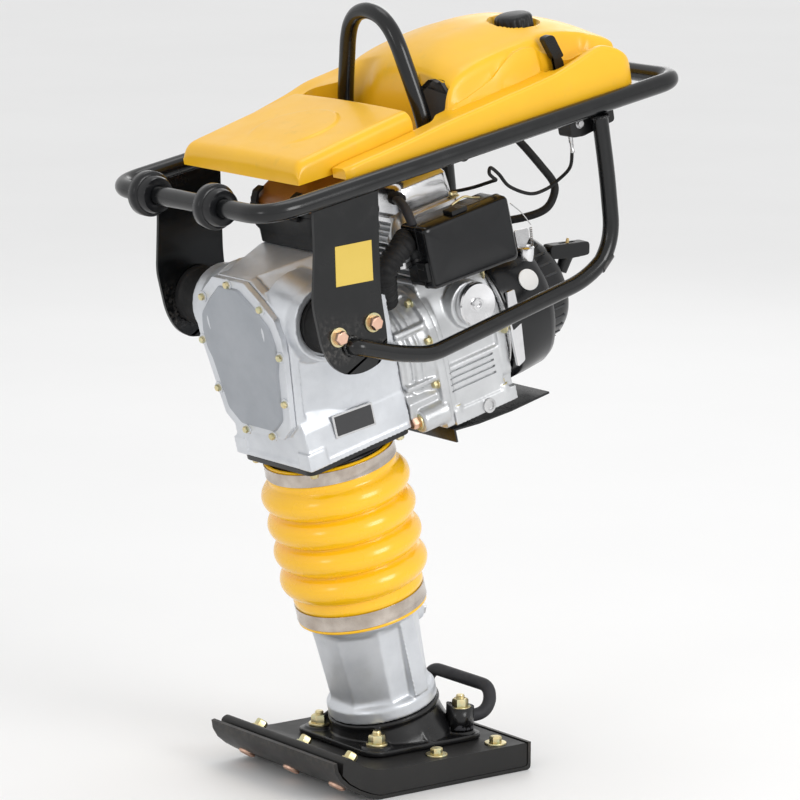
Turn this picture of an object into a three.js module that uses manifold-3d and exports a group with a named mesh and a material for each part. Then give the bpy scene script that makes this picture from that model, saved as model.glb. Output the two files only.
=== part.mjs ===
// Jumping jack rammer, millimetres, +Z up.
// Origin: where the axis of the leg meets the underside of the shoe.
// -Y is the toe of the shoe and the gear cover, +Y is the operator's end, +X is the exhaust side.
import * as THREE from "three";
import { mergeVertices } from "three/addons/utils/BufferGeometryUtils.js";
import Module from "manifold-3d";

const wasm = await Module();
wasm.setup();

// ---------- driving dimensions ----------
const RAD = Math.PI / 180;
const LEG_LEAN = 14.5 * RAD; // the leg leans forward over the shoe
const HANDLE_TILT = -3.3 * RAD; // the handle plane against the square across the leg
const HANDLE_HEIGHT = 854.6; // up the leg axis to the handle plane
const GAP = 0.4; // between pieces that touch

const SHOE = { halfWidth: 142.5, rear: 123.3, plate: 5, blockTop: 38, lipTop: 38.9, bendStart: -132 };
const FLANGE = { base: 38.4, top: 47, lugTop: 50, neck: 89.8, neckRadius: 73 };
const LEG = { bottom: 90.2, ringTop: 112, top: 228, ringRadius: 75.7, waist: 66, shoulder: 74, bore: 59.5 };
const CYLINDER = { bottom: 93, top: 380, radius: 58, bore: 52, cap: 12 };
const BELLOWS = {
  bottom: 231, top: 467, cuff: 87.6, bulge: 101.7, valley: 88, wall: 4, first: 293, pitch: 40.6,
};
const CASE = { bottom: 478, deck: 750, front: -88, rear: 84, halfWidth: 82 };
const CRANK = { height: 652, throw: 20, pinRadius: 10, rodLength: 130, stroke: 40 };
const ENGINE_AXIS = 562; // up the leg axis to the engine crankshaft
const GEAR = { module: 3, teeth: 51, pinionTeeth: 9, front: 36, back: 52 };
const MOUNT = { v: -36.5, w: 676, bossFace: 118, radius: 40 }; // the rubber handle mounts
const BRACKET = { inner: 175.5, outer: 180.5 };
const LOOP = { halfWidth: 177.2, front: -129.8, rear: 563, radius: 12.5, frontBend: 47, rearBend: 38 };
const BAIL = { s: 198.3, foot: 88, shoulder: 58, top: 174, radius: 11, crossDrop: 8 };
const ROLLER = { bore: 12.9, radius: 30, positions: [61, -89] };

// ---------- helpers ----------
const solid = (geometry) => {
  const bare = geometry.clone();
  bare.deleteAttribute("normal");
  bare.deleteAttribute("uv");
  const merged = mergeVertices(bare, 1e-4);
  return new wasm.Manifold(
    new wasm.Mesh({
      numProp: 3,
      vertProperties: merged.attributes.position.array,
      triVerts: new Uint32Array(merged.index.array),
    }),
  );
};

const geometryOf = (made) => {
  const mesh = made.getMesh();
  const geometry = new THREE.BufferGeometry();
  geometry.setAttribute("position", new THREE.BufferAttribute(mesh.vertProperties, mesh.numProp));
  geometry.setIndex(new THREE.BufferAttribute(mesh.triVerts, 1));
  return geometry;
};

const join = (first, ...rest) =>
  geometryOf(rest.reduce((whole, piece) => whole.add(solid(piece)), solid(first)));
const cut = (first, ...rest) =>
  geometryOf(rest.reduce((whole, piece) => whole.subtract(solid(piece)), solid(first)));
const common = (first, ...rest) =>
  geometryOf(rest.reduce((whole, piece) => whole.intersect(solid(piece)), solid(first)));

const basis = (x, y, z, at = [0, 0, 0]) =>
  new THREE.Matrix4()
    .makeBasis(new THREE.Vector3(...x), new THREE.Vector3(...y), new THREE.Vector3(...z))
    .setPosition(...at);

// A box from its low and high corners.
const box = (low, high) =>
  new THREE.BoxGeometry(high[0] - low[0], high[1] - low[1], high[2] - low[2]).translate(
    (low[0] + high[0]) / 2,
    (low[1] + high[1]) / 2,
    (low[2] + high[2]) / 2,
  );

const polygon = (points) => new THREE.Shape(points.map(([a, b]) => new THREE.Vector2(a, b)));
const mirrored = (half) => [
  ...half,
  ...half
    .filter((p) => p[0] > 0)
    .reverse()
    .map(([x, y, bend]) => [-x, y, bend]),
];

// A polygon whose corners are rounded by the radius given as each point's third number.
function roundedShape(points, steps = 3) {
  const out = [];
  points.forEach((point, i) => {
    const here = new THREE.Vector2(point[0], point[1]);
    const radius = point[2] ?? 0;
    if (!radius) {
      out.push(here);
      return;
    }
    const before = new THREE.Vector2(...points.at(i - 1).slice(0, 2));
    const after = new THREE.Vector2(...points[(i + 1) % points.length].slice(0, 2));
    const start = before.sub(here).setLength(radius).add(here);
    const end = after.sub(here).setLength(radius).add(here);
    const corner = new THREE.QuadraticBezierCurve(start, here, end);
    out.push(...corner.getPoints(steps));
  });
  return new THREE.Shape(out);
}

const extrude = (shape, depth) =>
  new THREE.ExtrudeGeometry(shape, { depth, bevelEnabled: false, curveSegments: 16 });
// Outlines drawn in (Y, Z), (X, Z) and (X, Y), thickened along the third axis.
const alongX = (shape, from, to) =>
  extrude(shape, to - from).applyMatrix4(basis([0, 1, 0], [0, 0, 1], [1, 0, 0], [from, 0, 0]));
const alongY = (shape, from, to) =>
  extrude(shape, to - from).applyMatrix4(basis([1, 0, 0], [0, 0, 1], [0, -1, 0], [0, to, 0]));
const alongZ = (shape, from, to) => extrude(shape, to - from).translate(0, 0, from);

// A cylinder or cone between two points.
function rod(from, to, radius, endRadius = radius, sides = 14) {
  const a = new THREE.Vector3(...from);
  const b = new THREE.Vector3(...to);
  const turn = new THREE.Quaternion().setFromUnitVectors(
    new THREE.Vector3(0, 1, 0),
    b.clone().sub(a).normalize(),
  );
  return new THREE.CylinderGeometry(endRadius, radius, a.distanceTo(b), sides)
    .applyQuaternion(turn)
    .translate((a.x + b.x) / 2, (a.y + b.y) / 2, (a.z + b.z) / 2);
}

// A body of revolution: profile points are [radius, height], in order up the outside.
const turned = (profile, sides = 24) =>
  new THREE.LatheGeometry(profile.map((p) => new THREE.Vector2(...p)), sides).rotateX(Math.PI / 2);
const ring = (inner, outer, from, to, sides = 24) =>
  turned([[inner, from], [outer, from], [outer, to], [inner, to], [inner, from]], sides);
const toAxisX = (geometry, at) => geometry.applyMatrix4(basis([0, 0, -1], [0, 1, 0], [1, 0, 0], at));
const toAxisY = (geometry, at) => geometry.applyMatrix4(basis([1, 0, 0], [0, 0, -1], [0, 1, 0], at));

// A path with sections only where it bends: straight runs between corners rounded by bend radii.
class BentPath extends THREE.Curve {
  constructor(corners, steps) {
    super();
    this.points = [];
    corners.forEach(({ at, bend = 0 }, i) => {
      const here = new THREE.Vector3(...at);
      if (!bend || i === 0 || i === corners.length - 1) {
        this.points.push(here);
        return;
      }
      const before = new THREE.Vector3(...corners[i - 1].at).sub(here).setLength(bend).add(here);
      const after = new THREE.Vector3(...corners[i + 1].at).sub(here).setLength(bend).add(here);
      this.points.push(...new THREE.QuadraticBezierCurve3(before, here, after).getPoints(steps));
    });
  }

  getPointAt(u) {
    return this.points[Math.round(u * (this.points.length - 1))].clone();
  }

  getPoint(u) {
    return this.getPointAt(u);
  }

  getTangentAt(u) {
    const i = Math.round(u * (this.points.length - 1));
    const back = i > 0 ? this.points[i].clone().sub(this.points[i - 1]).normalize() : null;
    const next = this.points[i + 1];
    const ahead = next ? next.clone().sub(this.points[i]).normalize() : null;
    return (back && ahead ? back.add(ahead) : (back ?? ahead)).normalize();
  }
}

const circle = (radius, sides) =>
  new THREE.Shape(
    Array.from({ length: sides }, (_, i) => {
      const angle = (2 * Math.PI * i) / sides;
      return new THREE.Vector2(radius * Math.cos(angle), radius * Math.sin(angle));
    }),
  );

// A round bar or tube bent along its corners: [x, y, z, bend].
function bentBar(corners, radius, { sides = 8, steps = 4 } = {}) {
  const path = new BentPath(corners.map(([x, y, z, bend]) => ({ at: [x, y, z], bend })), steps);
  return new THREE.ExtrudeGeometry(circle(radius, sides), {
    steps: path.points.length - 1,
    extrudePath: path,
    bevelEnabled: false,
  });
}

// A cord or hose: a smooth curve through hand-chosen points.
const hose = (points, radius, steps, sides = 6) =>
  new THREE.ExtrudeGeometry(circle(radius, sides), {
    steps,
    extrudePath: new THREE.CatmullRomCurve3(points.map((p) => new THREE.Vector3(...p))),
    bevelEnabled: false,
  });

// ---------- materials and scene graph ----------
const finishes = {
  yellow: { color: 0xf2bb28, roughness: 0.45 },
  bellows: { color: 0xfac828, roughness: 0.3 },
  blackPaint: { color: 0x141618, roughness: 0.25, metalness: 0.3 },
  cast: { color: 0xb4b8be, roughness: 0.5, metalness: 0.8 },
  zinc: { color: 0xbea55a, roughness: 0.4, metalness: 0.9 },
  steel: { color: 0x9a9c9e, roughness: 0.35, metalness: 1 },
  rubber: { color: 0x1c1c1c, roughness: 0.8 },
  blackPlastic: { color: 0x1a1d1f, roughness: 0.55 },
  shoe: { color: 0x22201e, roughness: 0.6 },
  amber: { color: 0x96601e, roughness: 0.5 },
};

const group = new THREE.Group(); // the row frame
const leg = new THREE.Group(); // Z up the leg axis, Y backwards
leg.rotation.x = LEG_LEAN;
const handle = new THREE.Group(); // Y backwards along the rails, Z square to them
handle.position.set(0, 0, HANDLE_HEIGHT);
handle.rotation.x = HANDLE_TILT;
group.add(leg);
leg.add(handle);

function put(parent, name, geometry, finish) {
  const mesh = new THREE.Mesh(geometry, new THREE.MeshStandardMaterial(finishes[finish]));
  mesh.name = name;
  parent.add(mesh);
}

// ---------- foot ----------
// The toe curls up from the flat sole: centreline of the sole's underside, y then z.
const toeUnder = [[SHOE.bendStart, 0], [-150, 5], [-168, 13], [-186, 24], [-199, 35], [-207, 48], [-209, 60]];

function shoePlate() {
  const t = SHOE.plate;
  const upper = [
    [-204, 61], [-202, 50], [-195, 38.5], [-183, 28], [-166, 17.8], [-149, 10], [SHOE.bendStart, t],
  ];
  const outline = [
    [SHOE.rear - 8, 0], [SHOE.rear - 2.5, 2.5], [SHOE.rear, 8], [SHOE.rear, SHOE.lipTop],
    [SHOE.rear - t, SHOE.lipTop], [SHOE.rear - t, 9], [SHOE.rear - 8, t],
    ...upper.slice().reverse(), ...toeUnder.slice().reverse(),
  ];
  return alongX(polygon(outline), -SHOE.halfWidth, SHOE.halfWidth);
}

function shoeBlock() {
  const lift = SHOE.plate + GAP;
  const outline = [
    [SHOE.rear - 6, 9], [SHOE.rear - 6, SHOE.blockTop], [-126, SHOE.blockTop], [-150, 44], [-170, 55],
    [-182, 65], [-192, 60], [-194, 42], [-182, 29.5], [-165, 18.8], [-148, 11], [SHOE.bendStart + 1, lift],
    [SHOE.rear - 9, lift],
  ];
  return alongX(polygon(outline), -SHOE.halfWidth + 1, SHOE.halfWidth - 1);
}

const footLugs = [[-66, -82], [66, -82], [66, 60], [-66, 60]];

function footFlange() {
  const plate = alongZ(
    roundedShape([[-92, -108, 26], [92, -108, 26], [92, 86, 26], [-92, 86, 26]]),
    FLANGE.base,
    FLANGE.top,
  );
  const cone = turned([[0, 10], [88, 10], [86, 44], [FLANGE.neckRadius, FLANGE.neck], [0, FLANGE.neck]])
    .rotateX(LEG_LEAN);
  const pads = footLugs.map(([x, y]) => rod([x, y, FLANGE.base], [x, y, FLANGE.lugTop], 24, 20));
  const pockets = footLugs.map(([x, y]) => rod([x, y, FLANGE.lugTop], [x, y, 140], 20, 20));
  const well = rod([0, 0, 74], [0, 0, 95], 50, 50, 20).rotateX(LEG_LEAN);
  const below = box([-200, -200, -20], [200, 200, FLANGE.base]);
  return cut(join(plate, cone, ...pads), ...pockets, well, below);
}

function hexNut(x, y, base) {
  const washer = rod([x, y, base], [x, y, base + 3], 15, 15);
  const nut = rod([x, y, base + 2.9], [x, y, base + 15], 12, 12, 6);
  const stud = rod([x, y, base + 14.9], [x, y, base + 26], 6.5, 6.5, 10);
  return join(washer, nut, stud);
}

const EYE_TOP = 79;

// The rubber pull handle stands on a spacer at the near rear stud and at its twin.
function footHandle() {
  const [x, y] = footLugs[2];
  const loop = [
    [x, y, 66, 0], [x + 6, y + 44, 68, 16], [x + 2, y + 52, 102, 16], [-x - 2, y + 52, 102, 16],
    [-x - 6, y + 44, 68, 16], [-x, y, 66, 0],
  ];
  const bar = bentBar(loop, 9, { sides: 8, steps: 3 });
  const eyes = [x, -x].map((at) => rod([at, y, FLANGE.lugTop + GAP], [at, y, EYE_TOP], 19, 17));
  const holes = [x, -x].map((at) => rod([at, y, FLANGE.lugTop - 5], [at, y, EYE_TOP + 5], 8, 8, 12));
  return cut(join(bar, ...eyes), ...holes);
}

put(group, "shoe_plate", shoePlate(), "shoe");
put(group, "shoe_block", shoeBlock(), "shoe");
put(group, "foot_flange", footFlange(), "blackPaint");
footLugs.forEach(([x, y], i) => {
  const base = (y > 0 ? EYE_TOP : FLANGE.lugTop) + GAP;
  put(group, `foot_nut_${i + 1}`, hexNut(x, y, base), "zinc");
});
put(group, "foot_handle", footHandle(), "rubber");

// ---------- leg ----------
function legCasting() {
  const body = turned([
    [LEG.bore, LEG.bottom], [LEG.ringRadius, LEG.bottom], [LEG.ringRadius, LEG.ringTop - 4],
    [LEG.waist + 2, LEG.ringTop], [LEG.waist, LEG.ringTop + 6], [LEG.shoulder - 2, LEG.top - 8],
    [80, LEG.top], [80, 262], [LEG.bore, 262], [LEG.bore, LEG.bottom],
  ]);
  const ribs = Array.from({ length: 8 }, (_, i) =>
    box([62, -7, LEG.ringTop - 6], [76, 7, LEG.top - 2]).rotateZ((i + 0.5) * (Math.PI / 4)),
  );
  const plugBoss = rod([0, 60.5, 196], [0, 88, 196], 17, 15);
  return cut(join(body, ...ribs, plugBoss), rod([0, 74, 196], [0, 90, 196], 9, 9, 12));
}

function springCylinder() {
  const { bottom, top, radius, bore, cap } = CYLINDER;
  return turned([
    [0, bottom], [radius, bottom], [radius, top], [18, top], [18, top - cap], [bore, top - cap],
    [bore, bottom + 8], [0, bottom + 8],
  ]);
}

// A coil spring as a helix between two heights.
function coil(from, to, radius, wire, turns) {
  class Helix extends THREE.Curve {
    getPoint(t) {
      const angle = 2 * Math.PI * turns * t;
      return new THREE.Vector3(radius * Math.cos(angle), radius * Math.sin(angle), from + (to - from) * t);
    }
  }
  return new THREE.ExtrudeGeometry(circle(wire, 5), {
    steps: turns * 8,
    extrudePath: new Helix(),
    bevelEnabled: false,
  });
}

function bellows() {
  const { bottom, top, cuff, bulge, valley, wall, first, pitch } = BELLOWS;
  const outer = [[cuff + 1, bottom], [cuff, bottom + 3], [cuff, 264]];
  for (let i = 0; i < 4; i += 1) {
    const middle = first + i * pitch;
    outer.push([valley, middle - 19], [bulge, middle - 7], [bulge, middle + 7]);
  }
  outer.push([valley, first + 3 * pitch + 18], [cuff, 442], [cuff, top]);
  const bore = valley - wall;
  return turned([...outer, [bore, top], [bore, bottom], outer[0]]);
}

const clamp = (from, to) => ring(BELLOWS.cuff + GAP, BELLOWS.cuff + GAP + 1.6, from, to);

put(leg, "leg_casting", legCasting(), "cast");
put(leg, "oil_plug", join(
  rod([0, 74.5, 196], [0, 88.4, 196], 8.5, 8.5, 12), rod([0, 88.3, 196], [0, 95, 196], 12, 12, 6),
), "steel");
put(leg, "spring_cylinder", springCylinder(), "steel");
put(leg, "lower_spring", coil(107, 228, 41, 5, 5), "steel");
put(leg, "upper_spring", coil(264, 361, 41, 5, 5), "steel");
put(leg, "bellows", bellows(), "bellows");
put(leg, "lower_clamp", clamp(236, 257), "steel");
put(leg, "upper_clamp", clamp(446, 464), "steel");

// ---------- percussion mechanism ----------
function flangePlate() {
  const plate = alongZ(
    roundedShape([[-77.6, -83.5, 14], [77.6, -83.5, 14], [77.6, 85.3, 14], [-77.6, 85.3, 14]], 2),
    469.5,
    CASE.bottom - GAP,
  );
  const collar = rod([0, 0, 440], [0, 0, 470], 82.5, 82.5, 24);
  return cut(join(plate, collar), rod([0, 0, 430], [0, 0, 490], 67, 67, 24));
}

function pistonRod() {
  const bottom = 235;
  const crotch = 444;
  const eye = CRANK.height - CRANK.throw - CRANK.rodLength;
  const stem = turned(
    [[0, bottom], [49, bottom], [49, bottom + 22], [16, bottom + 22], [16, 420], [0, 420]], 28,
  );
  const neck = rod([0, 0, 419], [0, 0, crotch + 1], 30, 30, 20);
  const cheek = (from, to) =>
    alongY(roundedShape([[-17, crotch], [17, crotch], [17, eye + 18, 12], [-17, eye + 18, 12]]), from, to);
  const pinHole = rod([0, -40, eye], [0, 40, eye], 8.6, 8.6);
  return cut(join(stem, neck, cheek(-21, -12), cheek(12, 21)), pinHole);
}

function connectingRod() {
  const big = CRANK.height - CRANK.throw;
  const small = big - CRANK.rodLength;
  const bigEye = rod([0, -11, big], [0, 11, big], 20, 20, 20);
  const smallEye = rod([0, -10, small], [0, 10, small], 16, 16, 20);
  const shank = alongY(polygon([[-8, small], [8, small], [12, big], [-12, big]]), -8, 8);
  const pin = rod([0, -11, small], [0, 11, small], 8, 8);
  const bore = rod([0, -20, big], [0, 20, big], CRANK.pinRadius + 0.5, CRANK.pinRadius + 0.5, 20);
  return join(cut(join(bigEye, smallEye, shank), bore), pin);
}

// Spur gear outline: straight-flanked teeth with backlash, the first tooth at the given angle.
function gearShape(teeth, firstTooth) {
  const pitchRadius = (GEAR.module * teeth) / 2;
  const step = (2 * Math.PI) / teeth;
  const corners = [[-0.3, -1.15], [-0.11, 0.8], [0.11, 0.8], [0.3, -1.15]];
  const points = [];
  for (let i = 0; i < teeth; i += 1) {
    corners.forEach(([share, height]) => {
      const angle = firstTooth + (i + share) * step;
      const radius = pitchRadius + height * GEAR.module;
      points.push([radius * Math.cos(angle), radius * Math.sin(angle)]);
    });
  }
  return polygon(points);
}

const inPlace = (geometry, w) => geometry.translate(0, 0, w);

function crankGear() {
  const wheel = inPlace(alongY(gearShape(GEAR.teeth, -Math.PI / 2), GEAR.front, GEAR.back), CRANK.height);
  const hub = rod([0, 30, CRANK.height], [0, 58, CRANK.height], 26, 26, 20);
  const shaft = rod([0, 57, CRANK.height], [0, 79, CRANK.height], 15, 15, 20);
  const pinAt = CRANK.height - CRANK.throw;
  const pin = rod([0, -14, pinAt], [0, 40, pinAt], CRANK.pinRadius, CRANK.pinRadius, 20);
  const weight = alongY(
    roundedShape([[-34, CRANK.height + 4], [34, CRANK.height + 4], [44, CRANK.height + 34, 16],
      [0, CRANK.height + 62, 30], [-44, CRANK.height + 34, 16]]),
    24,
    37,
  );
  return join(wheel, hub, shaft, pin, weight);
}

function clutchDrum() {
  const at = ENGINE_AXIS;
  const halfTooth = Math.PI / GEAR.pinionTeeth;
  const pinion = inPlace(
    alongY(gearShape(GEAR.pinionTeeth, Math.PI / 2 + halfTooth), GEAR.front - 1, GEAR.back + 1),
    at,
  );
  const shaft = rod([0, GEAR.back, at], [0, 106, at], 10, 10, 20);
  const drum = rod([0, 104, at], [0, 140, at], 45, 45, 24);
  return join(pinion, shaft, cut(drum, rod([0, 109, at], [0, 145, at], 41, 41, 24)));
}

const bearing = (inner, outer, from, to, w) => toAxisY(ring(inner, outer, 0, to - from, 28), [0, from, w]);

put(leg, "flange_plate", flangePlate(), "blackPaint");
put(leg, "guide_cylinder", ring(60, 66, 300, CASE.bottom - GAP), "steel");
put(leg, "piston_rod", pistonRod(), "steel");
put(leg, "connecting_rod", connectingRod(), "steel");
put(leg, "crank_gear", crankGear(), "steel");
put(leg, "clutch_drum", clutchDrum(), "steel");
put(leg, "crank_bearing", bearing(15.4, 27.5, 61, 77, CRANK.height), "steel");

// ---------- crankcase ----------
// Half outline of the gear cover: half width, then height up the leg.
const coverHalf = [[36, 742], [64, 721], [90, 697], [96.5, 674], [95, 648], [88, 611], [75, 542], [52, 523]];
const coverOutline = (inset) =>
  polygon(mirrored(coverHalf.map(([x, w]) => [x - inset, w + Math.sign(640 - w) * inset * 0.7]))
    .reverse());

function crankcase() {
  const { bottom, deck, front, rear, halfWidth } = CASE;
  const flange = alongY(coverOutline(0), front, front + 13);
  const shell = alongY(coverOutline(7), front + 12, rear);
  const lower = alongY(
    polygon(mirrored([[halfWidth, bottom], [halfWidth, 520], [72, 560]])),
    front + 3,
    rear,
  );
  const top = alongX(
    polygon([[front + 10, 700], [rear, 700], [rear, deck], [0, deck], [front + 10, deck - 10]]),
    -60,
    60,
  );
  const boss = rod(
    [-MOUNT.bossFace, MOUNT.v, MOUNT.w], [MOUNT.bossFace, MOUNT.v, MOUNT.w], 50, 50, 24,
  );
  const chamber = rod([0, front - 1, CRANK.height], [0, 58, CRANK.height], 82, 82, 24);
  const throat = box([-52, front + 12, 510], [52, 58, 600]);
  const well = rod([0, 0, bottom - 5], [0, 0, 520], 58, 58, 24);
  const pinionPocket = rod([0, 20, ENGINE_AXIS], [0, 58, ENGINE_AXIS], 24, 24, 20);
  const crankBore = rod([0, 50, CRANK.height], [0, 80, CRANK.height], 27.9, 27.9, 20);
  const pinionBore = rod([0, 50, ENGINE_AXIS], [0, rear + 1, ENGINE_AXIS], 19.9, 19.9, 20);
  const seats = [1, -1].map((side) =>
    rod(
      [side * (MOUNT.bossFace - 5), MOUNT.v, MOUNT.w], [side * (MOUNT.bossFace + 1), MOUNT.v, MOUNT.w],
      44, 44, 24,
    ),
  );
  return cut(
    join(flange, shell, lower, top, boss),
    chamber, throat, well, pinionPocket, crankBore, pinionBore, ...seats,
  );
}

function gearCover() {
  const plate = alongY(coverOutline(0), CASE.front - 10, CASE.front - GAP);
  const panel = alongY(coverOutline(14), CASE.front - 13, CASE.front - 9);
  return join(plate, panel);
}

function clutchHousing() {
  const at = ENGINE_AXIS;
  const from = CASE.rear + GAP;
  const bell = rod([0, from, at], [0, 150, at], 84, 92, 24);
  const feetOutline = [[-84, 474], [84, 474], [84, 506], [60, 540], [-60, 540], [-84, 506]];
  const feet = alongY(polygon(feetOutline), from + 6, 146);
  const hollow = rod([0, from + 8, at], [0, 151, at], 70, 76, 24);
  const hole = rod([0, from - 1, at], [0, from + 9, at], 14, 14, 20);
  return cut(join(bell, feet), hollow, hole);
}

// Rubber-and-metal handle mount: metal end plates with a rubber block between them.
function handleMount(side) {
  const from = side * (MOUNT.bossFace - 5 + GAP);
  const to = side * (BRACKET.inner - GAP);
  const { v, w, radius } = MOUNT;
  const plate = (a, b) => rod([a, v, w], [b, v, w], radius, radius, 20);
  const core = rod([from, v, w], [to, v, w], radius - 4, radius - 4, 20);
  return join(core, plate(from, from + side * 8), plate(to - side * 6, to));
}

put(leg, "crankcase", crankcase(), "cast");
put(leg, "gear_cover", gearCover(), "cast");
put(leg, "clutch_housing", clutchHousing(), "cast");
put(leg, "handle_mount_right", handleMount(1), "rubber");
put(leg, "handle_mount_left", handleMount(-1), "rubber");

// ---------- engine ----------
const BLOCK = { front: 150.4, rear: 264, halfWidth: 82, bottom: 454, top: 655 };

function engineBlock() {
  const { front, rear, halfWidth, bottom, top } = BLOCK;
  const side = 620;
  const outline = mirrored([
    [halfWidth + 4, bottom], [halfWidth + 4, bottom + 18], [halfWidth, bottom + 20], [halfWidth, side - 40],
    [62, side + 12], [58, top],
  ]);
  const body = alongY(polygon(outline), front, rear);
  const fins = Array.from({ length: 5 }, (_, i) =>
    box([halfWidth - 1, front + 14, 486 + i * 13], [halfWidth + 4, rear - 22, 492 + i * 13]),
  );
  const sump = box([-66, front + 12, bottom + 14], [66, rear - 12, 600]);
  const bore = rod([0, 215, 590], [0, 215, top + 1], 28, 28, 20);
  const shaft = rod([0, front - 1, ENGINE_AXIS], [0, rear + 1, ENGINE_AXIS], 14, 14, 20);
  return cut(join(body, ...fins), sump, bore, shaft);
}

function cylinderBarrel() {
  const from = BLOCK.top + GAP;
  const to = 734;
  const barrel = rod([0, 215, from], [0, 215, to], 38, 38);
  const fins = Array.from({ length: 6 }, (_, i) => {
    const w = from + 4 + i * 13;
    return box([-54, 160, w], [54, 262, w + 4]);
  });
  return cut(join(barrel, ...fins), rod([0, 215, from - 1], [0, 215, to + 1], 26, 26, 20));
}

function rockerCover() {
  const rimOutline = [[-50, 158, 14], [50, 158, 14], [50, 262, 14], [-50, 262, 14]];
  const rim = alongZ(roundedShape(rimOutline, 2), 734.4, 742);
  const dome = alongX(
    roundedShape([[164, 741], [256, 741], [254, 782, 12], [178, 788, 9], [164, 768, 7]], 2),
    -42,
    42,
  );
  return join(rim, dome);
}

// The heat shield round the exhaust silencer, open towards the cylinder.
function exhaustShield() {
  const outline = roundedShape([[137, 650, 10], [287, 650, 10], [287, 747, 10], [137, 747, 10]], 2);
  const inner = roundedShape([[140, 653, 8], [284, 653, 8], [284, 744, 8], [140, 744, 8]], 2);
  return cut(alongX(outline, 68, 126), alongX(inner, 60, 123));
}

function silencer() {
  const canOutline = [[146, 659, 14], [278, 659, 14], [278, 738, 14], [146, 738, 14]];
  const can = alongX(roundedShape(canOutline, 2), 74, 118);
  const pipe = rod([54.6, 215, 700], [76, 215, 700], 13, 13);
  return join(can, pipe);
}

function recoilCover() {
  const at = ENGINE_AXIS;
  const shell = toAxisY(
    turned([[0, 0], [98, 0], [98, 72], [90, 94], [70, 124], [0, 130]]),
    [0, BLOCK.rear + GAP, at],
  );
  const hollow = toAxisY(turned([[0, -1], [92, -1], [92, 70], [84, 90], [64, 118], [0, 124]]),
    [0, BLOCK.rear + GAP, at]);
  const post = rod([0, 350, at], [0, 392, at], 6, 6);
  const eyelet = rod([18, 376, 592], [26, 392, 612], 13, 11);
  const ropeHole = rod([4, 350, 570], [30, 402, 628], 3, 3, 10);
  return cut(join(cut(shell, hollow), post, eyelet), ropeHole);
}

// Pull direction of the starter: back, up and slightly across.
const PULL = new THREE.Vector3(-0.42, 0.74, 0.525).normalize();
const STARTER = new THREE.Vector3(34, 412, 622);

function starterHandle() {
  const across = new THREE.Vector3(PULL.y, -PULL.x, 0).normalize();
  const end = (along, out) =>
    STARTER.clone().addScaledVector(across, along).addScaledVector(PULL, out).toArray();
  const bar = rod(end(-36, 20), end(36, 20), 11, 11);
  const stem = rod(end(0, -14), end(0, 20), 9, 13);
  return join(bar, stem);
}

// Engine crankshaft with the clutch hub at its front end and the flywheel at its rear end.
function engineCrankshaft() {
  const at = ENGINE_AXIS;
  const hub = rod([0, 111, at], [0, 134, at], 37, 37, 20);
  const shaft = rod([0, 112, at], [0, 344, at], 12.5, 12.5, 20);
  const flywheel = rod([0, 298, at], [0, 324, at], 80, 80, 24);
  return join(hub, shaft, flywheel);
}

const recoilReel = () =>
  cut(
    join(
      rod([0, 352, ENGINE_AXIS], [0, 355, ENGINE_AXIS], 36, 36, 20),
      rod([0, 354, ENGINE_AXIS], [0, 364, ENGINE_AXIS], 28, 28, 20),
      rod([0, 363, ENGINE_AXIS], [0, 366, ENGINE_AXIS], 36, 36, 20),
    ),
    rod([0, 340, ENGINE_AXIS], [0, 380, ENGINE_AXIS], 6.6, 6.6),
  );

// A plate under the engine with a flange turned down at its front end.
function guardPlate() {
  const t = 3;
  const outline = [
    [147, 432], [150, 432], [150, 448.5], [188, 443], [246, 440], [314, 441], [314, 441 + t], [246, 440 + t],
    [188, 443 + t], [147, 449 + t],
  ];
  return alongX(polygon(outline), -88, 88);
}

function carburettor() {
  const body = box([-104, 186, 672], [-66, 244, 716]);
  const bowl = rod([-85, 215, 650], [-85, 215, 673], 19, 19, 20);
  const flange = box([-67, 180, 676], [-54.6, 250, 712]);
  const neck = rod([-90, 215, 715], [-90, 215, 724], 17, 17, 20);
  return join(body, bowl, flange, neck);
}

function chokeLever() {
  const hub = rod([-108.5, 232, 700], [-104.4, 232, 700], 8, 8);
  const arm = alongX(roundedShape([[227, 700], [237, 700], [240, 740, 6], [228, 740, 6]], 2), -108.5, -105.5);
  return join(hub, arm);
}

put(leg, "engine_block", engineBlock(), "cast");
put(leg, "cylinder_barrel", cylinderBarrel(), "cast");
put(leg, "rocker_cover", rockerCover(), "cast");
put(leg, "exhaust_shield", exhaustShield(), "blackPaint");
put(leg, "silencer", silencer(), "steel");
put(leg, "side_cover_disc", toAxisX(
  turned([[0, 0], [30, 0], [30, 8], [22, 14], [8, 16], [6, 12], [0, 12]], 32), [86.5, 222, 615],
), "cast");
put(leg, "recoil_cover", recoilCover(), "blackPlastic");
put(leg, "recoil_reel", recoilReel(), "blackPlastic");
put(leg, "starter_handle", starterHandle(), "blackPlastic");
put(leg, "engine_crankshaft", engineCrankshaft(), "steel");
put(leg, "engine_guard_plate", guardPlate(), "blackPaint");
put(leg, "carburettor", carburettor(), "cast");
put(leg, "choke_lever", chokeLever(), "blackPlastic");

// ---------- air cleaner ----------
const AIR = { halfWidth: 73, front: 4, rear: 118, bottom: 750.4, rim: 806, top: 838 };

function airBox() {
  const { halfWidth, front, rear, bottom, rim } = AIR;
  const shape = (inset) => roundedShape([
    [-halfWidth + inset, front + inset, 16], [halfWidth - inset, front + inset, 16],
    [halfWidth - inset, rear - inset, 16], [-halfWidth + inset, rear - inset, 16],
  ], 2);
  const outlet = rod([-52, rear - 2, 782], [-52, rear + 14, 782], 15, 15, 20);
  const bore = rod([-52, rear - 10, 782], [-52, rear + 15, 782], 12, 12, 20);
  return cut(join(alongZ(shape(0), bottom, rim), outlet), alongZ(shape(3), bottom + 3, rim + 1), bore);
}

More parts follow.
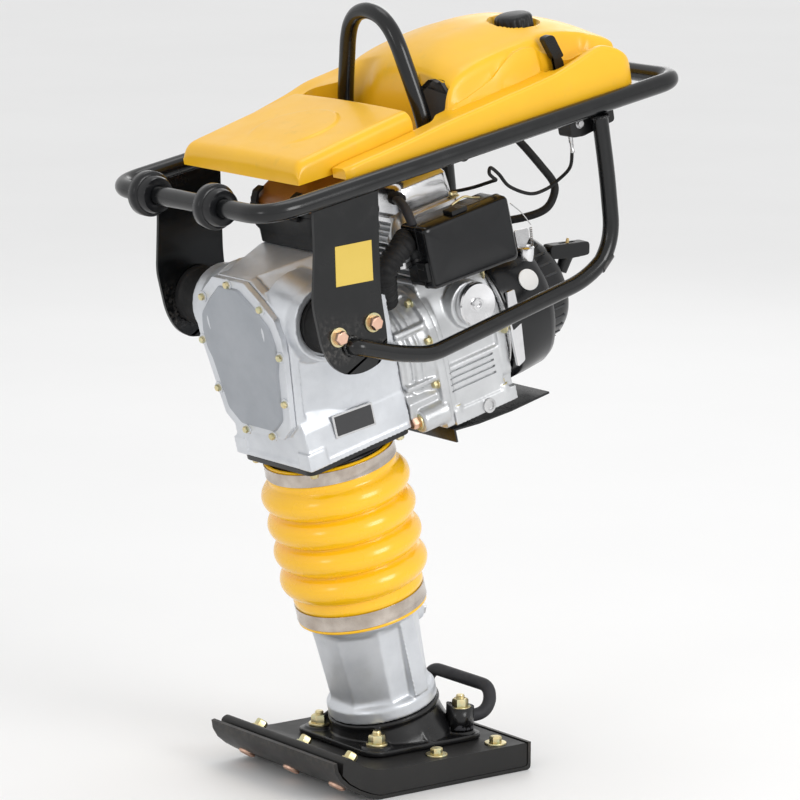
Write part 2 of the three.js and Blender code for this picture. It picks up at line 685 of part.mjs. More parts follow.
function airLid() {
  const { halfWidth, front, rear, rim, top } = AIR;
  const side = polygon([
    [front, rim + GAP], [rear, rim + GAP], [rear, rim + 9], [rear - 26, top], [front + 30, top],
    [front, rim + 9],
  ]);
  const face = polygon(mirrored([[halfWidth, rim + GAP], [halfWidth, rim + 9], [halfWidth - 34, top]]));
  return common(alongX(side, -halfWidth, halfWidth), alongY(face, front, rear));
}

put(leg, "air_box", airBox(), "blackPlastic");
put(leg, "air_lid", airLid(), "amber");
put(leg, "intake_hose", bentBar(
  [[-52, 133, 782, 0], [-52, 148, 782, 8], [-90, 215, 782, 24], [-90, 215, 725, 0]],
  15.5,
  { sides: 12 },
), "rubber");

// ---------- handle frame ----------
function handleLoop() {
  const { halfWidth: x, front, rear, frontBend, rearBend, radius } = LOOP;
  const middle = 200;
  const half = (end, bend, to) =>
    bentBar([[x, to, 0, 0], [x, end, 0, bend], [-x, end, 0, bend], [-x, to, 0, 0]], radius, { steps: 5 });
  return join(half(front, frontBend, middle + 1), half(rear, rearBend, middle - 1));
}

function bail() {
  const { s, foot, shoulder, top, radius, crossDrop } = BAIL;
  const arch = bentBar(
    [
      [foot, s, -crossDrop, 0], [foot, s, 26, 14], [shoulder, s, 118, 20], [shoulder - 12, s, top, 48],
      [12 - shoulder, s, top, 48], [-shoulder, s, 118, 20], [-foot, s, 26, 14], [-foot, s, -crossDrop, 0],
    ],
    radius,
    { steps: 4 },
  );
  const reach = LOOP.halfWidth - LOOP.radius - GAP;
  return join(arch, rod([-reach, s, -crossDrop], [reach, s, -crossDrop], radius, radius, 12));
}

function bracket(side) {
  const underRail = (v) => HANDLE_HEIGHT - LOOP.radius - GAP + Math.tan(HANDLE_TILT) * v;
  const outline = roundedShape([
    [-62, underRail(-62)], [-71, 800, 16], [-92, 728, 16], [-92, 668, 16], [-80, 632, 18],
    [-38, 614, 22], [6, 626, 16], [11, 660, 14], [14, 712, 20], [42, underRail(42)],
  ]);
  const [low, high] = side > 0 ? [BRACKET.inner, BRACKET.outer] : [-BRACKET.outer, -BRACKET.inner];
  return alongX(outline, low, high);
}

function guardTube(side) {
  const x = (value) => side * value;
  return bentBar(
    [
      [x(BRACKET.outer + GAP), -48, 658, 0], [x(192.2), -48, 658, 8], [x(192.2), 16, 625, 24],
      [x(190), 66, 606, 24], [x(181), 352, 611, 34], [x(178), 399, 640, 34],
      [x(178), 411, 735, 20], [x(178), 417, 817.2, 0],
    ],
    11,
    { steps: 3 },
  );
}

function roller(x) {
  const profile = [
    [ROLLER.bore, -22], [19, -22], [20, -10], [ROLLER.radius, -7], [ROLLER.radius, 7],
    [25, 12], [22, 22], [ROLLER.bore, 22], [ROLLER.bore, -22],
  ];
  return toAxisX(turned(profile, 18), [x, LOOP.front, 0]);
}

put(handle, "handle_loop", handleLoop(), "blackPaint");
put(handle, "lifting_bail", bail(), "blackPaint");
[["right", 1], ["left", -1]].forEach(([name, side]) => {
  put(leg, `side_bracket_${name}`, bracket(side), "blackPaint");
  put(leg, `guard_tube_${name}`, guardTube(side), "blackPaint");
});
put(handle, "roller_right", roller(ROLLER.positions[0]), "rubber");
put(handle, "roller_left", roller(ROLLER.positions[1]), "rubber");

// ---------- tank, hood and controls ----------
const TANK = { halfWidth: 165, humpHalf: 122, front: 214, rear: 520, skirtRear: 504, base: 8, wall: 4 };
const CAP = { x: 45, s: 400, seat: 94, radius: 27 };
const SLOT = { x: 131, width: 13, front: 372, rear: 458 };

// The hump is the common part of a side view and a front view, so an inset gives its inside.
function hump(inset) {
  const { humpHalf, front, rear, base } = TANK;
  const side = roundedShape([
    [front + inset, base + inset], [rear - inset, base + inset, 6], [rear - 2 - inset, 54 - inset, 20],
    [484, 90 - inset, 20], [430, 108 - inset, 24], [360, 116 - inset, 30], [262, 106 - inset, 26],
    [front + inset, 50 - inset, 16],
  ]);
  const across = roundedShape(mirrored([
    [humpHalf - inset, base + inset], [humpHalf - inset, 90 - inset, 16], [72, 112 - inset, 24],
    [24, 117 - inset, 16],
  ]));
  return common(alongX(side, -humpHalf, humpHalf), alongY(across, front, rear));
}

function skirt() {
  const { halfWidth, front, skirtRear, base } = TANK;
  const side = polygon([
    [16, base], [skirtRear, base], [skirtRear - 1, 30], [494, 48], [479, 60], [458, 71], [436, 73], [404, 66],
    [359, 57], [272, 50], [186, 43], [102, 34], [10, 28], [10, 14],
  ]);
  const plan = roundedShape([
    [halfWidth, 4, 10], [halfWidth, skirtRear, 24], [-halfWidth, skirtRear, 24], [-halfWidth, 4, 10],
    [-133, 4], [-133, 176, 20], [-108, front], [108, front], [133, 176, 20], [133, 4],
  ]);
  return common(alongX(side, -halfWidth, halfWidth), alongZ(plan, base, 90));
}

function fuelTank() {
  const seat = rod([CAP.x, CAP.s, CAP.seat], [CAP.x, CAP.s, 140], 38, 42, 20);
  const neck = rod([CAP.x, CAP.s, 70], [CAP.x, CAP.s, CAP.seat + 8], 21, 21, 20);
  const filler = rod([CAP.x, CAP.s, 60], [CAP.x, CAP.s, CAP.seat + 9], 17, 17, 20);
  const slot = box(
    [SLOT.x - SLOT.width / 2, SLOT.front, 0],
    [SLOT.x + SLOT.width / 2, SLOT.rear, 140],
  );
  const shell = join(cut(join(hump(0), skirt()), seat), neck);
  return cut(shell, hump(TANK.wall), filler, slot);
}

function frontHood() {
  const block = (inset) => {
    const side = roundedShape([
      [-43 + inset, 11 - inset], [148 - inset, 11 - inset], [140 - inset, 61 - inset, 8],
      [-26 + inset, 41 - inset, 10],
    ]);
    const across = roundedShape(mirrored([[131 - inset, 11 - inset], [120 - inset, 61 - inset, 12]]));
    return common(alongX(side, -131, 131), alongY(across, -43, 148));
  };
  return cut(block(0), block(4));
}

function fuelCap() {
  const { x, s, seat, radius } = CAP;
  const top = rod([x, s, seat + 8.6], [x, s, seat + 26], radius, radius - 2, 24);
  const grip = rod([x, s, seat + 1], [x, s, seat + 9], radius, radius, 24);
  return cut(join(grip, top), rod([x, s, seat], [x, s, seat + 8.4], 22, 22, 20));
}

const PIVOT = { x: 131, s: 398, h: -24 };

function throttleLever() {
  const { x, s, h } = PIVOT;
  const armOutline = roundedShape([
    [s - 9, h - 9, 8], [s + 9, h - 9, 8], [s + 8, 60], [s - 6, 98, 5], [s - 16, 98, 5], [s - 8, 60],
  ]);
  const knobOutline = roundedShape([[s - 10, 66, 4], [s + 9, 66, 4], [s - 5, 101, 6], [s - 23, 101, 6]]);
  const arm = alongX(armOutline, x - 2.5, x + 2.5);
  const knob = alongX(knobOutline, x - 6, x + 6);
  return cut(join(arm, knob), rod([x - 9, s, h], [x + 9, s, h], 4.4, 4.4, 12));
}

function throttleBracket() {
  const { x, s, h } = PIVOT;
  const foot = box([x + 4, s - 21, -39], [164.4, s + 57, -6]);
  const inner = box([x + 8, s - 17, -42], [160, s + 53, -10]);
  const pin = rod([x - 4.5, s, h], [x + 6, s, h], 4, 4, 12);
  return join(cut(foot, inner), pin);
}

function fuelCock() {
  const body = rod([0, 400, -16], [0, 400, 7.6], 11, 11);
  const spigot = rod([0, 400, -30], [0, 400, -15], 5, 5, 12);
  return join(body, spigot);
}

put(handle, "fuel_tank", fuelTank(), "yellow");
put(handle, "front_hood", frontHood(), "yellow");
put(handle, "fuel_cap", fuelCap(), "blackPlastic");
put(handle, "throttle_lever", throttleLever(), "blackPlastic");
put(handle, "throttle_bracket", throttleBracket(), "blackPaint");
put(handle, "fuel_cock", fuelCock(), "blackPlastic");

// ---------- hoses and cable ----------
put(leg, "fuel_hose", hose([
  [-82, 250, 700], [-74, 270, 688], [-58, 318, 668], [-38, 370, 655], [-16, 408, 652], [-2, 434, 657],
  [0, 451, 673], [0, 453, 690], [0, 438, 718], [0, 420, 748], [0, 404, 774], [0, 398, 800],
], 5.6, 36), "rubber");
put(leg, "throttle_cable", hose([
  [-97, 249, 712], [-82, 262, 726], [-40, 269, 734], [10, 274, 738], [50, 280, 746], [82, 290, 755],
  [100, 286, 761],
  [111, 274, 770], [116, 266, 779], [112, 273, 784], [104, 290, 768], [100, 306, 745], [100, 337, 724],
  [100, 364, 721], [104, 382, 727], [122, 394, 744], [142, 388, 772], [147, 386.7, 793],
], 2.5, 60), "rubber");

export default group;
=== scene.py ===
"""Looks of a jumping jack rammer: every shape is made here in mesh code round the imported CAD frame.

Sizes are millimetres in one of three frames, whose matrix, the place of a piece, turns them into metres:
ROW (upright), LEG (Z up the leaning leg) and HANDLE (Y back along the rails, Z square to them).
"""

import math

import bmesh
import bpy
from mathutils import Matrix, Vector


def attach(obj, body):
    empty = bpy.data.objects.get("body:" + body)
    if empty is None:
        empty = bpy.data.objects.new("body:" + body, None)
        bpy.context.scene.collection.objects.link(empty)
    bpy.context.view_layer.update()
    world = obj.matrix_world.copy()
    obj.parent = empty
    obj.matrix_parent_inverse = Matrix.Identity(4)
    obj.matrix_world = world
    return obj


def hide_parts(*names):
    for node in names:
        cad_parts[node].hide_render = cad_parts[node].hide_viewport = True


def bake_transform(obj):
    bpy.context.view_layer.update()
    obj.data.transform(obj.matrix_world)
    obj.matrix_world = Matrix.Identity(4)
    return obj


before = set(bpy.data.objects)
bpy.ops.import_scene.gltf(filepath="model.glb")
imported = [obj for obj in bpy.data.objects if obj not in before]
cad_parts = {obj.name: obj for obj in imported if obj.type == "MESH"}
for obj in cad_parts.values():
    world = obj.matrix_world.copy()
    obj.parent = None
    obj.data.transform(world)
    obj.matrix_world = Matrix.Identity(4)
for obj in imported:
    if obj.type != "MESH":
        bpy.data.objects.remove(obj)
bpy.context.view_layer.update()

MM = 0.001
LEG_LEAN = math.radians(14.5)
HANDLE_TILT = math.radians(-3.3)
HANDLE_HEIGHT = 854.6
ROW = Matrix.Scale(MM, 4)
LEG = ROW @ Matrix.Rotation(LEG_LEAN, 4, "X")
HANDLE = LEG @ Matrix.Translation((0, 0, HANDLE_HEIGHT)) @ Matrix.Rotation(HANDLE_TILT, 4, "X")
SIDES = (("right", 1), ("left", -1))

# ---------------------------------------------------------------- shapes


def rounded(points, steps=6):
    """A polygon whose corners [a, b, bend] are rounded from bend before to bend after."""
    out = []
    for i, point in enumerate(points):
        here = Vector(point[:2])
        bend = point[2] if len(point) > 2 else 0
        if not bend:
            out.append(tuple(here))
            continue
        before = Vector(points[i - 1][:2])
        after = Vector(points[(i + 1) % len(points)][:2])
        start = here + (before - here).normalized() * bend
        end = here + (after - here).normalized() * bend
        for k in range(steps + 1):
            t = k / steps
            out.append(tuple(start * (1 - t) ** 2 + here * 2 * t * (1 - t) + end * t * t))
    return out


def mirrored(half):
    """The whole outline from its half with x >= 0."""
    return half + [(-p[0], *p[1:]) for p in reversed(half) if p[0] > 0]


def round_box(low, high, bend, steps=6):
    """A rectangle between two opposite corners, with its corners rounded."""
    (a, b), (c, d) = low, high
    return rounded([(a, b, bend), (c, b, bend), (c, d, bend), (a, d, bend)], steps)


def loft(rings, closed=False, caps=True):
    """Rings of points, each joined to the next; closed joins the last to the first."""
    n = len(rings[0])
    verts = [tuple(p) for ring in rings for p in ring]
    faces = []
    for r in range(len(rings) if closed else len(rings) - 1):
        a, b = r * n, ((r + 1) % len(rings)) * n
        faces += [(a + i, a + (i + 1) % n, b + (i + 1) % n, b + i) for i in range(n)]
    if caps and not closed:
        faces += [tuple(range(n - 1, -1, -1)), tuple(range(len(verts) - n, len(verts)))]
    return verts, faces


AXES = {
    "X": lambda a, b, t: (t, a, b),
    "Y": lambda a, b, t: (a, t, b),
    "Z": lambda a, b, t: (a, b, t),
}


def prism(outline, low, high, axis="Z"):
    put = AXES[axis]
    return loft([[put(a, b, t) for a, b in outline] for t in (low, high)])


def box(low, high):
    return prism([(low[0], low[1]), (high[0], low[1]), (high[0], high[1]), (low[0], high[1])], low[2],
                 high[2])


def revolve(profile, sides=64, closed=False):
    """Profile points (radius, height) turned round Z. closed joins the last to the first, for a ring."""
    step = 2 * math.pi / sides
    turn = [(math.cos(i * step), math.sin(i * step)) for i in range(sides)]
    rings = [[(max(r, 0.01) * c, max(r, 0.01) * s, h) for c, s in turn] for r, h in profile]
    return loft(rings, closed=closed)


def towards(at, direction):
    """The matrix that puts Z along a direction at a point."""
    return Matrix.Translation(at) @ Vector(direction).to_track_quat("Z", "Y").to_matrix().to_4x4()


def moved(part, matrix):
    return [tuple(matrix @ Vector(v)) for v in part[0]], part[1]


def turned(profile, at, direction, sides=64, closed=False):
    return moved(revolve(profile, sides, closed), towards(at, direction))


def rod(a, b, radius, end=None, sides=32):
    length = (Vector(b) - Vector(a)).length
    return turned([(radius, 0), (radius if end is None else end, length)], a, Vector(b) - Vector(a), sides)


def bent(corners, steps=8):
    """A path through corners (x, y, z, bend), rounded at each bend."""
    out = []
    for i, corner in enumerate(corners):
        here = Vector(corner[:3])
        bend = corner[3] if len(corner) > 3 else 0
        if not bend:
            out.append(here)
            continue
        start = here + (Vector(corners[i - 1][:3]) - here).normalized() * bend
        end = here + (Vector(corners[i + 1][:3]) - here).normalized() * bend
        for k in range(steps + 1):
            t = k / steps
            out.append(start * (1 - t) ** 2 + here * 2 * t * (1 - t) + end * t * t)
    return out


def smooth_path(points, steps=8):
    """A Catmull-Rom curve through points."""
    pts = [Vector(p) for p in points]
    pts = [pts[0] * 2 - pts[1], *pts, pts[-1] * 2 - pts[-2]]
    out = []
    for i in range(1, len(pts) - 2):
        p0, p1, p2, p3 = pts[i - 1 : i + 3]
        for k in range(steps):
            t = k / steps
            out.append(
                0.5 * (2 * p1 + (p2 - p0) * t + (2 * p0 - 5 * p1 + 4 * p2 - p3) * t * t
                       + (3 * p1 - p0 - 3 * p2 + p3) * t**3)
            )
    return [*out, pts[-2]]


def tube(path, radius, sides=24, closed=False):
    """A round bar along a path; radius is one number or one per point."""
    pts = [Vector(p) for p in path]
    n = len(pts)
    side = None
    rings = []
    for i, p in enumerate(pts):
        ahead = pts[(i + 1) % n] if closed or i < n - 1 else p
        behind = pts[i - 1] if closed or i > 0 else p
        along = (ahead - behind).normalized()
        if side is None:
            side = along.orthogonal().normalized()
        side = (side - along * side.dot(along)).normalized()
        other = along.cross(side)
        r = radius[i] if isinstance(radius, (list, tuple)) else radius
        rings.append([
            tuple(p + side * (r * math.cos(a)) + other * (r * math.sin(a)))
            for a in (2 * math.pi * k / sides for k in range(sides))
        ])
    return loft(rings, closed=closed)


def hexagon(radius):
    step = 2 * math.pi / 6
    return [(radius * math.cos(i * step), radius * math.sin(i * step)) for i in range(6)]


def bolt_head(across, height, washer=0, washer_height=0):
    """A hexagon head on a round washer, standing on Z = 0."""
    r = across / 2 / math.cos(math.pi / 6)
    parts = []
    if washer:
        parts.append(revolve([(washer, 0), (washer, washer_height * 0.8), (washer - 0.3, washer_height)], 28))
    z = washer_height - 0.05 if washer else 0
    rings = [(r, z), (r, z + height * 0.8), (r * 0.88, z + height)]
    parts.append(loft([[(x, y, h) for x, y in hexagon(q)] for q, h in rings]))
    parts.append(revolve([(r * 0.78, z + height - 0.1), (r * 0.74, z + height + 0.25)], 24))
    return parts


def stud_end(radius, low, high, pitch=1.5):
    """A threaded end with its grooves."""
    profile = [(radius * 0.86, low)]
    z = low
    while z + pitch < high:
        profile += [(radius, z + pitch * 0.3), (radius, z + pitch * 0.5), (radius * 0.88, z + pitch)]
        z += pitch
    return revolve([*profile, (radius * 0.8, high)], 20)


# ---------------------------------------------------------------- pieces


def mesh_object(name, parts, place, materials, sharp=None, extra=None):
    """One object from parts (points, faces[, material index])."""
    bm = bmesh.new()
    for part in parts:
        made = [bm.verts.new(place @ Vector(v)) for v in part[0]]
        index = part[2] if len(part) > 2 else 0
        for face in part[1]:
            f = bm.faces.new([made[i] for i in face])
            f.smooth = True
            f.material_index = index
    if extra:
        extra(bm)
    bmesh.ops.recalc_face_normals(bm, faces=bm.faces)
    if sharp is not None:
        limit = math.radians(sharp)
        for edge in bm.edges:
            edge.smooth = len(edge.link_faces) == 2 and edge.calc_face_angle() < limit
    mesh = bpy.data.meshes.new(name)
    bm.to_mesh(mesh)
    bm.free()
    obj = bpy.data.objects.new(name, mesh)
    bpy.context.scene.collection.objects.link(obj)
    for material in materials:
        mesh.materials.append(material)
    return obj


def settle(obj, body, replaces):
    if replaces:
        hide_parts(*replaces)
    if body:
        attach(obj, body)
    return obj


def piece(name, parts, place, body, materials, replaces=(), bevel=0, sharp=32, segments=2):
    """A machined, moulded or sheet piece; its edges are bevelled when bevel is given in millimetres."""
    obj = mesh_object(name, parts, place, materials, None if bevel else sharp)
    if bevel:
        edge = obj.modifiers.new("edges", "BEVEL")
        edge.width = bevel * MM
        edge.segments = segments
        edge.limit_method = "ANGLE"
        edge.angle_limit = math.radians(sharp)
        edge.harden_normals = True
    return settle(obj, body, replaces)


def applied(obj):
    """Makes the modified shape the object's own mesh."""
    bpy.context.view_layer.update()
    graph = bpy.context.evaluated_depsgraph_get()
    mesh = bpy.data.meshes.new_from_object(obj.evaluated_get(graph))
    obj.modifiers.clear()
    obj.data = mesh
    return obj


def casting(name, parts, place, body, material, replaces=(), voxel=2.0, soften=6, cuts=(), holes=()):
    """Overlapping closed parts fused into one skin with rounded inner and outer corners, as sand leaves them.
    cuts are taken away before the rounding, holes after it, so that holes keep machined edges."""
    obj = mesh_object(name, parts, place, [material])

    def take_away(shapes):
        for shape in shapes:
            cutter = mesh_object(name + "_cutter", [shape], place, [])
            cutter.hide_render = True
            change = obj.modifiers.new("cut", "BOOLEAN")
            change.operation = "DIFFERENCE"
            change.object = cutter
            change.solver = "FAST"
            applied(obj)
            bpy.data.objects.remove(cutter)

    remesh = obj.modifiers.new("fuse", "REMESH")
    remesh.mode = "VOXEL"
    remesh.voxel_size = voxel * MM
    applied(obj)
    take_away(cuts)
    relax = obj.modifiers.new("soften", "SMOOTH")
    relax.factor = 0.5
    relax.iterations = soften
    applied(obj)
    take_away(holes)
    mesh = obj.data
    mesh.materials.clear()
    mesh.materials.append(material)
    for polygon in mesh.polygons:
        polygon.use_smooth = True
        polygon.material_index = 0
    if holes:
        mesh.set_sharp_from_angle(angle=math.radians(40))
    return settle(obj, body, replaces)


# ---------------------------------------------------------------- materials


class Nodes:
    """A small builder for one material's node tree."""

    def __init__(self, name):
        self.material = bpy.data.materials.new(name)
        self.material.use_nodes = True
        self.tree = self.material.node_tree
        self.shader = self.tree.nodes["Principled BSDF"]
        self.coords = self.tree.nodes.new("ShaderNodeTexCoord").outputs["Object"]

    def link(self, a, b):
        self.tree.links.new(a, b)

    def noise(self, scale, detail=4, roughness=0.55, stretch=None):
        node = self.tree.nodes.new("ShaderNodeTexNoise")
        node.inputs["Scale"].default_value = scale
        node.inputs["Detail"].default_value = detail
        node.inputs["Roughness"].default_value = roughness
        source = self.coords
        if stretch:
            mapping = self.tree.nodes.new("ShaderNodeMapping")
            mapping.inputs["Scale"].default_value = stretch
            self.link(source, mapping.inputs["Vector"])
            source = mapping.outputs["Vector"]
        self.link(source, node.inputs["Vector"])
        return node.outputs["Fac"]

    def pebble(self, scale):
        node = self.tree.nodes.new("ShaderNodeTexVoronoi")
        node.inputs["Scale"].default_value = scale
        self.link(self.coords, node.inputs["Vector"])
        return node.outputs["Distance"]

    def ramp(self, fac, stops):
        node = self.tree.nodes.new("ShaderNodeValToRGB")
        elements = node.color_ramp.elements
        while len(elements) < len(stops):
            elements.new(0.5)
        for element, (at, color) in zip(elements, stops):
            element.position = at
            element.color = (*color, 1)
        self.link(fac, node.inputs["Fac"])
        return node.outputs["Color"]

    def spread(self, fac, low, high, start=0.3, end=0.7):
        node = self.tree.nodes.new("ShaderNodeMapRange")
        node.inputs["From Min"].default_value = start
        node.inputs["From Max"].default_value = end
        node.inputs["To Min"].default_value = low
        node.inputs["To Max"].default_value = high
        self.link(fac, node.inputs["Value"])
        return node.outputs["Result"]

    def mix(self, fac, a, b):
        node = self.tree.nodes.new("ShaderNodeMix")
        node.data_type = "RGBA"
        self.link(fac, node.inputs["Factor"])
        for source, socket in ((a, node.inputs[6]), (b, node.inputs[7])):
            if isinstance(source, tuple):
                socket.default_value = (*source, 1)
            else:
                self.link(source, socket)
        return node.outputs[2]

    def edges(self, low=0.52, high=0.6):
        """1 on worn outer edges and 0 elsewhere."""
        geometry = self.tree.nodes.new("ShaderNodeNewGeometry")
        return self.spread(geometry.outputs["Pointiness"], 0, 1, low, high)

    def times(self, a, b):
        node = self.tree.nodes.new("ShaderNodeMath")
        node.operation = "MULTIPLY"
        self.link(a, node.inputs[0])
        self.link(b, node.inputs[1])
        return node.outputs[0]

    def bump(self, height, strength, distance=0.0005):
        node = self.tree.nodes.new("ShaderNodeBump")
        node.inputs["Strength"].default_value = strength
        node.inputs["Distance"].default_value = distance
        self.link(height, node.inputs["Height"])
        previous = self.shader.inputs["Normal"].links
        if previous:
            self.link(previous[0].from_socket, node.inputs["Normal"])
        self.link(node.outputs["Normal"], self.shader.inputs["Normal"])

    def set(self, **values):
        names = {"metallic": "Metallic", "roughness": "Roughness", "coat": "Coat Weight",
                 "coat_roughness": "Coat Roughness", "specular": "Specular IOR Level"}
        for key, value in values.items():
            self.shader.inputs[names[key]].default_value = value
        return self

    def color(self, socket):
        self.link(socket, self.shader.inputs["Base Color"])

    def rough(self, socket):
        self.link(socket, self.shader.inputs["Roughness"])


def plastic(name, low, high, roughness, pebble=0.0, coat=0.0, soil=None):
    """Moulded plastic: mottled colour, faint flow lines, fine grain."""
    n = Nodes(name)
    base = n.ramp(n.noise(9, 5), [(0.3, low), (0.7, high)])
    if soil:
        base = n.mix(n.spread(n.noise(38, 6, 0.65), 0, 0.35, 0.58, 0.8), base, soil)
    n.color(base)
    n.rough(n.spread(n.noise(30, 5), roughness - 0.05, roughness + 0.07))
    n.bump(n.noise(55, 3), 0.05, 0.0008)
    if pebble:
        n.bump(n.pebble(1100), pebble, 0.00012)
    n.set(coat=coat, coat_roughness=0.12, specular=0.32 if max(low) < 0.1 else 0.5)
    return n.material


def painted(name, color, roughness, coat=0.6, wear=(0.16, 0.15, 0.14), wear_amount=0.5):
    """Gloss paint on steel: orange peel, fine dust, worn edges."""
    n = Nodes(name)
    dusty = n.mix(n.spread(n.noise(70, 8, 0.7), 0, 0.05, 0.55, 0.85), color, (0.22, 0.21, 0.20))
    worn = n.times(n.edges(0.56, 0.66), n.spread(n.noise(160, 6), 0, wear_amount, 0.45, 0.65))
    n.color(n.mix(worn, dusty, wear))
    n.rough(n.spread(n.noise(26, 6), roughness - 0.05, roughness + 0.1))
    n.bump(n.noise(260, 2), 0.06, 0.0004)
    n.set(coat=coat, coat_roughness=0.06, specular=0.4)
    return n.material


def cast(name, low, high, metallic, roughness, grain=0.35):
    """Sand-cast light alloy with silver paint: grain, faint stains, brighter rubbed edges."""
    n = Nodes(name)
    base = n.ramp(n.noise(14, 7, 0.6), [(0.32, low), (0.68, high)])
    stained = n.mix(n.spread(n.noise(52, 8, 0.7), 0, 0.3, 0.6, 0.85), base, (0.30, 0.30, 0.31))
    n.color(n.mix(n.times(n.edges(0.54, 0.64), n.spread(n.noise(220, 4), 0.2, 0.8)), stained,
                  (0.86, 0.87, 0.89)))
    n.rough(n.spread(n.noise(45, 6), roughness - 0.08, roughness + 0.1))
    n.bump(n.noise(620, 4, 0.6), grain, 0.00025)
    n.bump(n.noise(95, 3), 0.10, 0.0006)
    n.set(metallic=metallic)
    return n.material


def bright(name, low, high, roughness, scratches=(1, 1, 30), warmth=None):
    """Machined or plated metal with fine turning marks."""
    n = Nodes(name)
    base = n.ramp(n.noise(40, 6), [(0.3, low), (0.7, high)])
    if warmth:
        base = n.mix(n.spread(n.noise(120, 4), 0, 0.8, 0.45, 0.7), base, warmth)
    n.color(base)
    n.rough(n.spread(n.noise(90, 6, stretch=scratches), roughness - 0.06, roughness + 0.12))
    n.bump(n.noise(300, 4, stretch=scratches), 0.10, 0.0002)
    n.set(metallic=1.0)
    return n.material


def rubber(name, color, roughness=0.7):
    n = Nodes(name)
    n.color(n.mix(n.spread(n.noise(60, 7, 0.7), 0, 0.12, 0.5, 0.8), color, (0.12, 0.115, 0.11)))
    n.rough(n.spread(n.noise(80, 5), roughness - 0.1, roughness + 0.1))
    n.bump(n.noise(420, 5, 0.7), 0.25, 0.0003)
    n.set(specular=0.3)
    return n.material


YELLOW = plastic("yellow_plastic", (0.86, 0.46, 0.006), (0.91, 0.51, 0.010), 0.36, 0.10, 0.15,
                 (0.62, 0.38, 0.05))
BELLOWS = plastic("bellows_plastic", (0.93, 0.50, 0.004), (0.96, 0.54, 0.007), 0.24, 0.0, 0.4)
BLACK = painted("gloss_black_paint", (0.004, 0.0045, 0.005), 0.2, 0.12)
BLACK_CAST = painted("black_painted_casting", (0.005, 0.005, 0.0055), 0.28, 0.1)
SILVER = cast("cast_silver", (0.56, 0.58, 0.61), (0.68, 0.70, 0.73), 0.62, 0.36)
# The gear cover's front panel: the same silver casting darkened, as painted shade for the face turned away
# from the key lamp.
SILVER_PAINTED_SHADE = cast("cover_silver_painted_shade", (0.33, 0.35, 0.38), (0.38, 0.40, 0.43), 0.45, 0.46, 0.2)
ENGINE = cast("engine_alloy", (0.50, 0.51, 0.52), (0.64, 0.65, 0.66), 0.7, 0.36, 0.3)
STEEL = bright("machined_steel", (0.52, 0.52, 0.53), (0.66, 0.66, 0.66), 0.26)
BAND = bright("stainless_band", (0.40, 0.34, 0.29), (0.62, 0.56, 0.50), 0.16, (30, 30, 2))
ZINC = bright("yellow_zinc", (0.62, 0.50, 0.24), (0.78, 0.68, 0.42), 0.3, (1, 1, 1), (0.55, 0.62, 0.42))
COPPER = bright("pink_bolt_head", (0.74, 0.46, 0.34), (0.86, 0.60, 0.46), 0.34, (1, 1, 1))
RUBBER = rubber("black_rubber", (0.009, 0.009, 0.0095))
GREY_RUBBER = rubber("grey_rubber", (0.030, 0.030, 0.034), 0.6)
PLASTIC = plastic("black_plastic", (0.006, 0.0065, 0.007), (0.010, 0.0105, 0.011), 0.4, 0.16)
SLATE = plastic("slate_plastic", (0.035, 0.037, 0.040), (0.048, 0.050, 0.054), 0.5, 0.12)
SHOE = painted("scuffed_shoe", (0.010, 0.0095, 0.009), 0.4, 0.0, (0.20, 0.15, 0.11), 0.9)
SHOE_TOP = plastic("shoe_filler", (0.010, 0.0098, 0.0095), (0.017, 0.0165, 0.016), 0.5, 0.1, 0.0,
                   (0.05, 0.045, 0.04))
# Amber lid plastic, darker than its own colour: the extra darkness is painted shade from the hood above the
# lid.
AMBER_PAINTED_SHADE = plastic("amber_plastic_painted_shade", (0.16, 0.055, 0.008), (0.25, 0.095, 0.014), 0.4, 0.05, 0.2)
LABEL_YELLOW = plastic("blank_label", (0.62, 0.44, 0.07), (0.66, 0.48, 0.09), 0.35)
PLATE_DARK = painted("blank_plate", (0.03, 0.03, 0.032), 0.35, 0.2)
BRAND_NEW_STEEL = bright("polished_steel", (0.70, 0.70, 0.71), (0.80, 0.80, 0.81), 0.14)

# ---------------------------------------------------------------- fasteners


def fastener(at, direction, across=13, height=7, washer=10, washer_height=2, head=0):
    """A bolt head on its washer: material 0 for the washer and head for the hexagon."""
    matrix = towards(at, direction)
    made = [moved(p, matrix) for p in bolt_head(across, height, washer, washer_height)]
    return [(*p, 0 if washer and i == 0 else head) for i, p in enumerate(made)]


def row_of_bolts(name, spots, direction, place, body, replaces=(), **sizes):
    parts = [p for at in spots for p in fastener(at, direction, **sizes)]
    return piece(name, parts, place, body, [ZINC, COPPER], replaces, bevel=0.35, sharp=40)


# ---------------------------------------------------------------- foot

SHOE_HALF = 142.5


